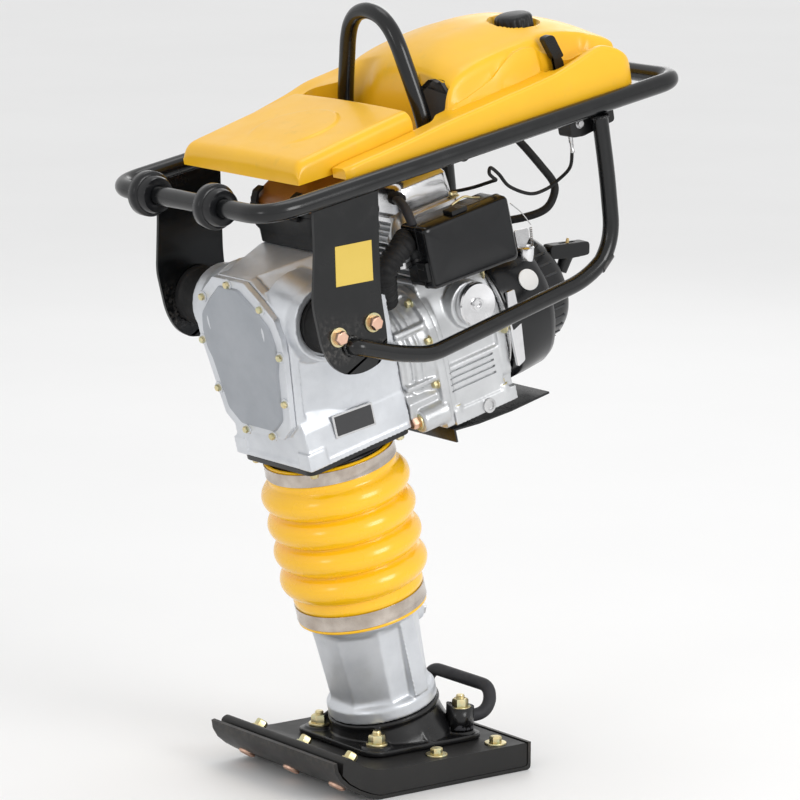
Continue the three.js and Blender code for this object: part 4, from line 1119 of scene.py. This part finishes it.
def air_cleaner():
    outline = round_box((-72.8, 4.2), (72.8, 117.8), 16, 8)
    rim = round_box((-74, 3.4), (74, 118.6), 16, 8)
    step = round_box((-70, 7), (70, 115), 16, 8)
    outlet = rod((-52, 112, 782), (-52, 131.8, 782), 14.8, None, 40)
    body = loft([[(a, b, w) for a, b in o] for o,
                 w in ((step, 750.6), (step, 768), (outline, 774), (outline, 799))])
    lip = prism(rim, 799, 805.8)
    piece("cleaner_body", [body, lip, outlet], LEG, "upper", [PLASTIC], ["air_box"],
          bevel=1.2)
    rings = []
    for w, inset, fx in ((806.2, 0, 0), (813, 0.6, 1), (821, 10, 12), (831, 19, 22), (836.6, 27, 31),
                         (837.8, 31, 36)):
        ring = round_box((-72.5 + fx, 4.5 + inset), (72.5 - fx, 117.5 - inset * 0.7), 15, 8)
        rings.append([(a, b, w) for a, b in ring])
    # The lid's amber is darkened as painted shade from the hood.
    piece("cleaner_lid", [loft(rings)], LEG, "upper", [AMBER_PAINTED_SHADE], ["air_lid"], sharp=50)
    straps = []
    for x in (-46, 40):
        straps.append(prism(rounded([(3.4, 792, 1), (-1.2, 794, 1), (-2.4, 814, 1), (4, 826, 2),
                                     (15, 829.5, 1),
                                     (15, 826, 1), (5.5, 822, 1), (1, 812, 1), (2, 795, 1)], 3), x - 6,
                                     x + 6, "X"))
        straps.append(rod((x - 8, -1, 797), (x + 8, -1, 797), 3, None, 16))
    piece("cleaner_straps", straps, LEG, "upper", [RUBBER], bevel=0.6)
    path = bent([(-52, 133.2, 782), (-52, 148, 782, 10), (-90, 215, 782, 30), (-90, 215, 725.6)], 16)
    radii = [15.2 + 0.75 * math.sin(i * math.pi * 0.9) for i in range(len(path))]
    piece("intake_elbow", [tube(path, radii, 32)], LEG, "upper", [RUBBER], ["intake_hose"],
          sharp=60)
    rings = []
    for at, axis in (((-52, 139, 782), (0, 1, 0)), ((-90, 215, 734), (0, 0, 1))):
        rings.append(turned([(15.4, -4), (16.6, -4), (16.6, 4), (15.4, 4)], at, axis, 48, closed=True))
    piece("intake_clips", rings, LEG, "upper", [STEEL], bevel=0.2)


# ---------------------------------------------------------------- engine

AXIS = 562


def squircle(radius, sides=96, corner=0.0):
    """A circle whose lower half is drawn out towards square corners."""
    out = []
    for i in range(sides):
        a = 2 * math.pi * i / sides
        stretch = 1 + corner * max(0.0, -math.sin(a)) ** 0.5 * math.sin(2 * a) ** 2
        out.append((radius * stretch * math.cos(a), AXIS + radius * stretch * math.sin(a)))
    return out


def rings_along(outlines):
    """A loft of (outline, v) rings, each outline in X and w."""
    return loft([[(x, v, w) for x, w in outline] for outline, v in outlines])


def clutch_housing():
    bell = rings_along([(squircle(84), 84.4), (squircle(86, corner=0.02), 110),
                        (squircle(93, corner=0.04), 137)])
    flange = prism(rounded(mirrored([(91, 457, 6), (93, 500, 8), (96.5, 562, 40), (88, 610, 20),
                                     (66, 640, 16),
                                     (40, 652, 16)]), 4), 136, 149.8, "Y")
    bands = [rings_along([(squircle(88 + i), v), (squircle(89 + i), v + 9)]) for i,
             v in enumerate((90, 106, 121))]
    foot = prism(mirrored([(82, 474.4), (85, 508), (60, 540)]), 86, 147, "Y")
    posts = []
    for x in (80, -80):
        posts.append(turned([(15, 0), (17.4, 3), (17.6, 30), (19, 44)], (x, 97.5, 481), (0, 1, 0), 48))
        posts.append(turned([(9, 0), (8, 16), (10, 22)], (x, 144, 457.4), (0, 0, 1), 32))
    ribs = []
    for a in (28, 62, 118, 152, -20, 200):
        turn = Matrix.Translation((0, 0, AXIS)) @ Matrix.Rotation(math.radians(-a), 4, "Y")
        ribs.append(moved(box((70, 86, -4), (95, 149, 4)), turn))
    casting("clutch_casting", [bell, flange, *bands, foot, *posts, *ribs], LEG, "upper", ENGINE,
            ["clutch_housing"], voxel=1.8, soften=4,
            cuts=[prism([(-130, 440), (130, 440), (130, 456.6), (-130, 456.6)],
                                                                 80, 160, "Y")])
    row_of_bolts("engine_mount_bolts", [(x, 97.6, 481) for x in (80, -80)], (0, -1, 0), LEG, "upper",
                 across=15, height=9, washer=12.5, washer_height=2.4, head=1)
    spots = [(s * x, 135.8, w) for s in (1, -1) for x, w in ((86, 522), (90, 585), (62, 634))]
    row_of_bolts("housing_bolts", spots, (0, -1, 0), LEG, "upper", across=9, height=6, washer=7,
                 washer_height=1.2)


def engine_block():
    front, rear = 150.2, 262
    body = prism(rounded(mirrored([(80, 454.2), (80, 574, 8), (74, 612, 12), (60, 640, 10), (57, 654.8)]), 4),
                 front, rear, "Y")
    base = box((-87, 154, 454.2), (87, 261.6, 474))
    cheeks = [box((74 if s > 0 else -84.5, 154, 474), (84.5 if s > 0 else -74, 246, 536)) for s in (1, -1)]
    ring = prism(rounded(mirrored([(84, 474), (88, 520, 8), (92, 562, 30), (84, 606, 16), (62, 636, 12),
                                   (40, 652)]), 4),
                 front, 160, "Y")
    rear_ring = prism(rounded(mirrored([(70, 478), (84, 494, 8), (86, 562, 30), (80, 600, 16),
                                        (56, 634, 12)]), 4),
                      248, 263, "Y")
    bosses = [rod((s * 70, 214, 607), (s * 87, 214, 607), 34, 32, 64) for s in (1, -1)]
    lugs = [rod((s * 78, v, 468), (s * 78, v, 480), 10, 9, 32) for s in (1, -1) for v in (163, 244)]
    grooves = []
    for s in (1, -1):
        for w in (500.5, 509.4, 518.2, 527):
            low, high = (79.6, 90) if s > 0 else (-90, -79.6)
            grooves.append(prism(round_box((157, w), (236, w + 3.2), 1.4, 3), low, high, "X"))
    casting("engine_casting", [body, base, *cheeks, ring, rear_ring, *bosses, *lugs], LEG, "upper",
            ENGINE, ["engine_block"], voxel=1.8, soften=4, holes=grooves)
    for name, s in SIDES:
        plug = turned([(10.5, 0), (10, 3), (6.5, 3.4), (6, 1.6), (0.01, 1.6)], (s * 86.8, 211, 462.5),
                      (s, 0, 0), 48)
        piece(f"oil_drain_{name}", [plug], LEG, "upper", [STEEL], sharp=40)
    spots = [(s * 78, v, 479.6) for s in (1, -1) for v in (163, 244)]
    row_of_bolts("engine_base_bolts", spots, (0, 0, 1), LEG, "upper", across=10, height=6.4, washer=8.5,
                 washer_height=1.4)
    dish = turned([(29.5, -2), (30, 1), (29.6, 7.4), (28, 9.2), (24, 8.6), (16, 6.4), (9, 6.2), (8, 9.6),
                   (7.2, 10.2),
                   (5, 10.2), (4.6, 6.8), (0.01, 6.6)], (89.6, 219, 607), (1, 0, 0), 96)
    piece("side_dish", [dish], LEG, "upper", [BRAND_NEW_STEEL], ["side_cover_disc"], sharp=35)
    spots = [(x, 257, w) for x, w in ((-89, 560), (89, 560), (-60, 632), (60, 632))]
    row_of_bolts("block_bolts", spots, (0, 1, 0), LEG, "upper", across=8, height=5)


def cylinder():
    fins = []
    for i in range(9):
        w = 659 + i * 8.4
        fins.append(prism(round_box((-53.6, 160.4), (53.6, 261.6), 8, 4), w, w + 2.4))
    parts = [rod((0, 215, 655.4), (0, 215, 733.6), 40, None, 64), *fins]
    parts.append(box((-30, 166, 700), (30, 258, 733.4)))
    piece("cylinder_fins", parts, LEG, "upper", [ENGINE], ["cylinder_barrel"], bevel=0.5)
    rim = round_box((-50, 158), (50, 262), 14, 8)
    lid = []
    for w, inset in ((741.6, 9), (744, 7), (760, 7.6), (778, 9), (783, 12), (786, 17), (787.2, 24)):
        ring = round_box((-50 + inset, 158 + inset), (50 - inset, 262 - inset), 12, 8)
        lid.append([(x, v, w) for x, v in ring])
    piece("rocker_lid", [prism(rim, 734.4, 741.8), loft(lid)], LEG, "upper", [BRAND_NEW_STEEL],
          ["rocker_cover"], bevel=0.7)
    spots = [(x, v, 741.8) for x in (-43, 43) for v in (165, 255)]
    row_of_bolts("rocker_bolts", spots, (0, 0, 1), LEG, "upper", across=8.5, height=5, washer=6.6,
                 washer_height=1)


def box_ring(x, inset, bend=7):
    low_v, high_v, low_w, high_w = 138 + inset, 286 - inset, 651 + inset, 746 - inset
    return [(x, v, w) for v, w in rounded([(low_v, low_w + 6, bend), (high_v, low_w, bend),
                                           (high_v, high_w - 2, bend),
                                           (low_v, high_w, bend)], 6)]


def exhaust():
    """The black box over the silencer: a tray with a lip, and a lid with a bevelled edge."""
    tray = loft([box_ring(98, 5), box_ring(69, 5), box_ring(69, 2), box_ring(99, 2), box_ring(99.4, 0.2),
                 box_ring(103.6, 0.2), box_ring(104, 3)])
    lid = loft([box_ring(104.4, 2.4), box_ring(104.8, 0.6), box_ring(116, 1.4), box_ring(119.6, 2.4),
                box_ring(121.6, 4.6), box_ring(122.4, 8), box_ring(122.8, 40, 4)])
    piece("shield_tray", [tray], LEG, "upper", [PLASTIC_GLOSS], ["exhaust_shield"], bevel=0.7)
    piece("shield_lid", [lid], LEG, "upper", [PLASTIC_GLOSS], sharp=45)
    clasps = []
    for v, w, up in ((137.2, 684, 0), (206, 747, 1)):
        size = (13, 3) if up else (3, 13)
        outline = round_box((v - size[0], w - size[1]), (v + size[0], w + size[1]), 1.5, 3)
        clasps.append(prism(outline, 97, 117, "X"))
        if up:
            clasps.append(rod((101, v, w), (113, v, w), 3.4, None, 16))
        else:
            clasps.append(rod((101, v - 2, w + 6), (113, v - 2, w + 6), 3, None, 16))
    piece("shield_clasps", clasps, LEG, "upper", [PLASTIC], bevel=0.5)
    rings = []
    for x, inset in ((73.6, 12), (76, 8), (96, 7), (98, 12)):
        rings.append(box_ring(x, inset, 20))
    can = loft(rings)
    pipe = tube(bent([(54.8, 215, 700), (66, 215, 700, 6), (76, 222, 700)], 6), 13, 32)
    piece("silencer_can", [can], LEG, "upper", [STEEL], ["silencer"], bevel=1)
    piece("exhaust_pipe", [pipe], LEG, "upper", [STEEL])


def recoil():
    """The blower housing, its front plate, and the starter housing behind it with its cooling slots."""
    housing = []
    for v, r, corner in ((266, 97.4, 0.10), (268, 98, 0.10), (300, 97.4, 0.10), (334, 95.6, 0.09),
                         (344, 92.6, 0.08),
                         (350, 87, 0.06), (352, 80, 0.03)):
        housing.append((squircle(r, 128, corner), v))
    rear = [(77, 350), (76.6, 372), (75, 382), (70, 389.6), (60, 393.4), (40, 394.6)]
    shell = rings_along(housing + [(squircle(r, 128), v) for r, v in rear])
    piece("blower_housing", [shell], LEG, "upper", [PLASTIC_GLOSS], ["recoil_cover"],
          sharp=30)
    slots = []
    for i in range(26):
        turn = Matrix.Translation((0, 0, AXIS)) @ Matrix.Rotation(-math.radians(-72 + i * 12), 4, "Y")
        slots.append(moved(box((76.2, 356, -1.6), (77.4, 378, 1.6)), turn))
    piece("cooling_slots", slots, LEG, "upper", [SLATE], bevel=0.3)
    ribs = [rings_along([(squircle(r, 96), v), (squircle(r, 96), v + 1.4)]) for r,
            v in ((62, 393.2), (44, 394.2))]
    piece("starter_rings", ribs, LEG, "upper", [PLASTIC], bevel=0.4)
    plate = rings_along([(squircle(93, 96, 0.06), 263.6), (squircle(94, 96, 0.06), 265.8)])
    piece("blower_front_plate", [plate], LEG, "upper", [STEEL], bevel=0.4)
    edge = prism(rounded([(264.2, 500, 3), (278, 505, 3), (284, 560, 3), (283, 606, 3), (270, 606, 3),
                          (264.2, 560, 3)], 4),
                 92, 97.6, "X")
    piece("blower_side_plate", [edge], LEG, "upper", [BRAND_NEW_STEEL], bevel=0.8)
    a = math.radians(27)
    disc = turned([(15, -0.6), (15, 0.6), (14.4, 1)], (98 * math.cos(a), 316, AXIS + 98 * math.sin(a)),
                  (math.cos(a), 0, math.sin(a)), 48)
    piece("blank_disc", [disc], LEG, "upper", [WHITE], sharp=30)
    guide = turned([(12, 0), (12, 7), (9.6, 11), (9.2, 14)], (37, 392, 566), (0.05, 0.86, 0.5), 32)
    piece("rope_guide", [guide], LEG, "upper", [PLASTIC], sharp=35)


def starter():
    """The pull handle parked on its guide, with the knot of the rope in its slot."""
    middle, run, rise = Vector((38, 425, 606)), Vector((0.06, 0.972, -0.226)), Vector((0.02, 0.226, 0.972))
    side = run.cross(rise).normalized()
    place = Matrix((side, run, rise)).transposed().to_4x4()
    place.translation = middle
    outline = rounded([(-33, -10, 5), (-7, -12, 2), (7, -12, 2), (33, -10, 5), (33, 9, 6), (-33, 9, 6)], 5)
    body = moved(prism(outline, -10, 10, "X"), place)
    stem = moved(rod((0, 0, -10), (0, -9, -31), 9.5, 8, 32), place)
    slot = moved(box((-4, -13, 3), (4, 13, 12)), place)
    casting("starter_grip", [body, stem], LEG, "starter", PLASTIC, ["starter_handle"],
            voxel=1.1,
            soften=4, holes=[slot])
    knot = moved(turned([(2.2, 0), (2.6, 6), (1.8, 13)], (0, 0, 2), (0, 0.2, 1), 16), place)
    piece("rope_knot", [knot], LEG, "starter", [ROPE], sharp=50)


def guard_plate():
    outline = rounded([(147, 452, 1.5), (190, 446.4), (246, 443.4), (314, 444), (314, 441), (246, 440.4),
                       (190, 443.4), (150, 448.6), (150, 432.4), (147, 432.4)], 3)
    tabs = [prism([(268, 442), (292, 442), (288, 431.8), (282, 431.8)], x, x + 3, "X") for x in (60, -63)]
    piece("guard_sheet", [prism(outline, -87, 87, "X"), *tabs], LEG, "upper", [BLACK],
          ["engine_guard_plate"], bevel=0.6)


def carburettor():
    flange_plate = prism(round_box((180, 676), (250, 712), 8, 5), -67, -55, "X")
    body = prism(round_box((187, 673), (243, 715), 5, 5), -103.6, -66, "X")
    bowl = turned([(17, 0), (19.6, 3), (19.6, 18), (21, 20), (21, 25)], (-85, 215, 650), (0, 0, 1), 48)
    neck = rod((-90, 215, 712), (-90, 215, 724.6), 17, None, 48)
    casting("carburettor_body", [flange_plate, body, bowl, neck], LEG, "upper", ENGINE,
            ["carburettor"],
            voxel=1.1, soften=3)
    screws = [(-104, v, w) for v in (194, 236) for w in (680, 708)]
    row_of_bolts("carburettor_screws", screws, (-1, 0, 0), LEG, "upper", across=6, height=2.6)
    lever = prism(rounded([(228, 697, 4), (236, 697, 4), (240, 740, 5), (229, 740, 5)], 4), -108.3, -105.8,
                  "X")
    hub = rod((-108.4, 232, 700), (-104.6, 232, 700), 8, None, 32)
    piece("choke_arm", [lever, hub], LEG, "choke", [PLASTIC], ["choke_lever"], bevel=0.5)


def leads():
    """The spark plug lead and its cap, the ribbed duct, the silencer box's wire and the governor parts."""
    lead = smooth_path([(30, 168, 768), (58, 158, 766), (74, 152, 760), (84, 150, 744), (86, 152, 726),
                        (84, 158, 700)], 8)
    piece("spark_lead", [tube(lead, 6.4, 24)], LEG, "upper", [GREY_RUBBER], sharp=60)
    cap = [turned([(9, 0), (9.6, 4), (8.4, 14), (7, 20)], (26, 168, 768), (1, 0, 0), 32)]
    piece("spark_cap", cap, LEG, "upper", [RUBBER], sharp=40)
    path = smooth_path([(60, 100, 650), (76, 92, 672), (88, 88, 695), (92, 102, 712), (90, 122, 722),
                        (76, 140, 724)], 12)
    radii = [15.5 + 1.3 * math.cos(i * math.pi / 2) for i in range(len(path))]
    piece("ribbed_duct", [tube(path, radii, 40)], LEG, "upper", [RUBBER], sharp=70)
    wire = smooth_path([(104, 204, 754), (104, 226, 758), (104, 240, 752), (102, 252, 748)], 8)
    piece("clasp_wire", [tube(wire, 1.6, 12)], LEG, "upper", [ZINC], sharp=80)
    bracket_shape = rounded([(328, 669, 4), (352, 665, 4), (350, 650, 3), (340, 641, 3), (328, 643, 3)], 4)
    piece("governor_arm", [prism(bracket_shape, 58, 61, "X")], LEG, "upper", [STEEL], bevel=0.6)
    solenoid = turned([(11, 0), (12.4, 2), (12.4, 20), (10, 22)], (60, 336, 622), (0.1, 0.2, 1), 40)
    piece("governor_pot", [solenoid], LEG, "upper", [BRAND_NEW_STEEL], sharp=40)
    spring = []
    for i in range(90):
        a = i * 0.9
        spring.append((61 + 2.6 * math.cos(a), 356 - i * 0.05, 664 - i * 0.36 + 2.6 * math.sin(a) * 0.4))
    piece("governor_spring", [tube(spring, 0.6, 8)], LEG, "upper", [STEEL], sharp=80)
    rod_wire = smooth_path([(61, 330, 708), (61, 345, 690), (61, 357, 668)], 8)
    piece("governor_wire", [tube(rod_wire, 0.8, 8)], LEG, "upper", [STEEL], sharp=80)


def inlet_pipe():
    """The cast elbow beside the cylinder, with the clamp that holds it."""
    path = smooth_path([(40, 170, 736), (56, 150, 734), (66, 138, 722), (68, 134, 704), (66, 130, 688)], 8)
    radii = [15 - 3 * i / len(path) for i in range(len(path))]
    pads = [rod((66, 137, 725), (66, 133, 731), 16, None, 32), box((34, 150, 726), (58, 164, 748))]
    casting("inlet_elbow", [tube(path, radii, 32), *pads], LEG, "upper", ENGINE, voxel=1.3,
            soften=4)
    ring = turned([(13.4, -4), (14.8, -4), (14.8, 4), (13.4, 4)], (66.5, 131, 692), (0.02, 0.1, 1), 40,
                  closed=True)
    piece("elbow_clamp", [ring], LEG, "upper", [STEEL], bevel=0.2)


def inner_parts():
    """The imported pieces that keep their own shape: what lies inside, and the fuel tap."""
    for material, names in (
        (STEEL, ("guide_cylinder", "piston_rod", "connecting_rod", "crank_gear", "crank_bearing",
                 "engine_crankshaft",
                 "clutch_drum")),
        (BRAND_NEW_STEEL, ("spring_cylinder",)),
        (ZINC, ("upper_spring", "lower_spring")),
        (PLASTIC, ("recoil_reel", "fuel_cock")),
    ):
        for name in names:
            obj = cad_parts[name]
            obj.data.materials.clear()
            obj.data.materials.append(material)


def lines():
    """The throttle cable with its slack loop, and the fuel hose, each from the engine to the tank frame."""
    path = [(-97, 249, 712), (-82, 262, 726), (-40, 269, 734), (10, 274, 738), (50, 280, 746), (82, 290, 755),
            (100, 286, 761), (111, 274, 770), (116, 266, 779), (112, 273, 784), (104, 290, 768),
            (100, 306, 745),
            (100, 337, 724), (100, 364, 721), (104, 382, 727), (122, 394, 744), (142, 388, 772),
            (147, 386.7, 793)]
    cable = piece("control_cable", [tube(smooth_path(path, 10), 2.4, 16)], LEG, None,
                  [RUBBER],
                  ["throttle_cable"], sharp=60)
    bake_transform(cable)
    hose_path = [(-82, 250, 700), (-74, 270, 688), (-58, 318, 668), (-38, 370, 655), (-16, 408, 652),
                 (-2, 434, 657),
                 (0, 451, 673), (0, 453, 690), (0, 438, 718), (0, 420, 748), (0, 404, 774), (0, 398, 800)]
    hose = piece("fuel_line", [tube(smooth_path(hose_path, 10), 5.6, 20)], LEG, None,
                 [RUBBER],
                 ["fuel_hose"], sharp=60)
    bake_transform(hose)


WHITE = plastic("blank_white", (0.78, 0.78, 0.77), (0.82, 0.82, 0.81), 0.45)
ROPE = plastic("rope_end", (0.55, 0.40, 0.16), (0.66, 0.50, 0.24), 0.7)

# ---------------------------------------------------------------- camera, floor, light


CAMERA_AT = (4.480, -3.377, 1.551)
CAMERA_ANGLES = (52.96, 10.57, 0.32)
CAMERA_LENS = 189.9


def studio():
    """The camera by its azimuth, elevation and roll in degrees, a pale floor and four lamps."""
    scene = bpy.context.scene
    azimuth, elevation, roll = (math.radians(angle) for angle in CAMERA_ANGLES)
    back = Vector((math.sin(azimuth) * math.cos(elevation), -math.cos(azimuth) * math.cos(elevation),
                   math.sin(elevation)))
    right = Vector((math.cos(azimuth), math.sin(azimuth), 0))
    up = back.cross(right)
    right, up = (right * math.cos(roll) + up * math.sin(roll), up * math.cos(roll) - right * math.sin(roll))
    lens = bpy.data.cameras.new("camera")
    lens.sensor_width = 36
    lens.lens = CAMERA_LENS
    lens.clip_end = 100
    camera = bpy.data.objects.new("camera", lens)
    camera.matrix_world = Matrix.Translation(CAMERA_AT) @ Matrix((right, up, back)).transposed().to_4x4()
    scene.collection.objects.link(camera)
    scene.camera = camera
    ground = mesh_object("floor", [([(-40, -40, 0), (40, -40, 0), (40, 40, 0), (-40, 40, 0)],
                                    [(0, 1, 2, 3)])],
                         Matrix.Identity(4), [floor_material()])
    ground.location.z = -0.0005
    world = bpy.data.worlds.new("studio")
    world.use_nodes = True
    world.node_tree.nodes["Background"].inputs["Color"].default_value = (1.0, 1.0, 1.0, 1)
    world.node_tree.nodes["Background"].inputs["Strength"].default_value = 0.9
    scene.world = world
    lamp("key", (3.4, 0.5, 1.9), (0, 0, 0.6), 1.5, 46)
    lamp("front", (0.8, -4.0, 1.8), (0, 0, 0.6), 0.9, 9)
    lamp("top", (-0.4, 0.4, 3.6), (0, 0, 0.8), 1.4, 12)
    lamp("rear", (-2.6, 2.8, 2.2), (0, 0, 0.6), 1.6, 10)
    scene.view_settings.view_transform = "Standard"
    scene.view_settings.look = "None"


def lamp(name, at, target, size, power):
    light = bpy.data.lights.new(name, "AREA")
    light.size = size
    light.energy = power
    obj = bpy.data.objects.new(name, light)
    obj.location = at
    obj.rotation_mode = "QUATERNION"
    obj.rotation_quaternion = (Vector(target) - Vector(at)).to_track_quat("-Z", "Y")
    bpy.context.scene.collection.objects.link(obj)


def floor_material():
    n = Nodes("studio_floor")
    n.color(n.ramp(n.noise(1.3, 3), [(0.3, (0.86, 0.86, 0.86)), (0.7, (0.88, 0.88, 0.88))]))
    n.set(roughness=0.6)
    return n.material


studio()
shoe()
foot()
leg()
bellows()
band("lower_band", 236, 257, "foot", "lower_clamp")
band("upper_band", 446, 464, "upper", "upper_clamp")
crankcase()
flange()
handle_mounts()
handle_frame()
tank()
hood()
fuel_cap()
throttle()
air_cleaner()
clutch_housing()
engine_block()
cylinder()
exhaust()
recoil()
starter()
guard_plate()
carburettor()
leads()
inlet_pipe()
lines()
inner_parts()
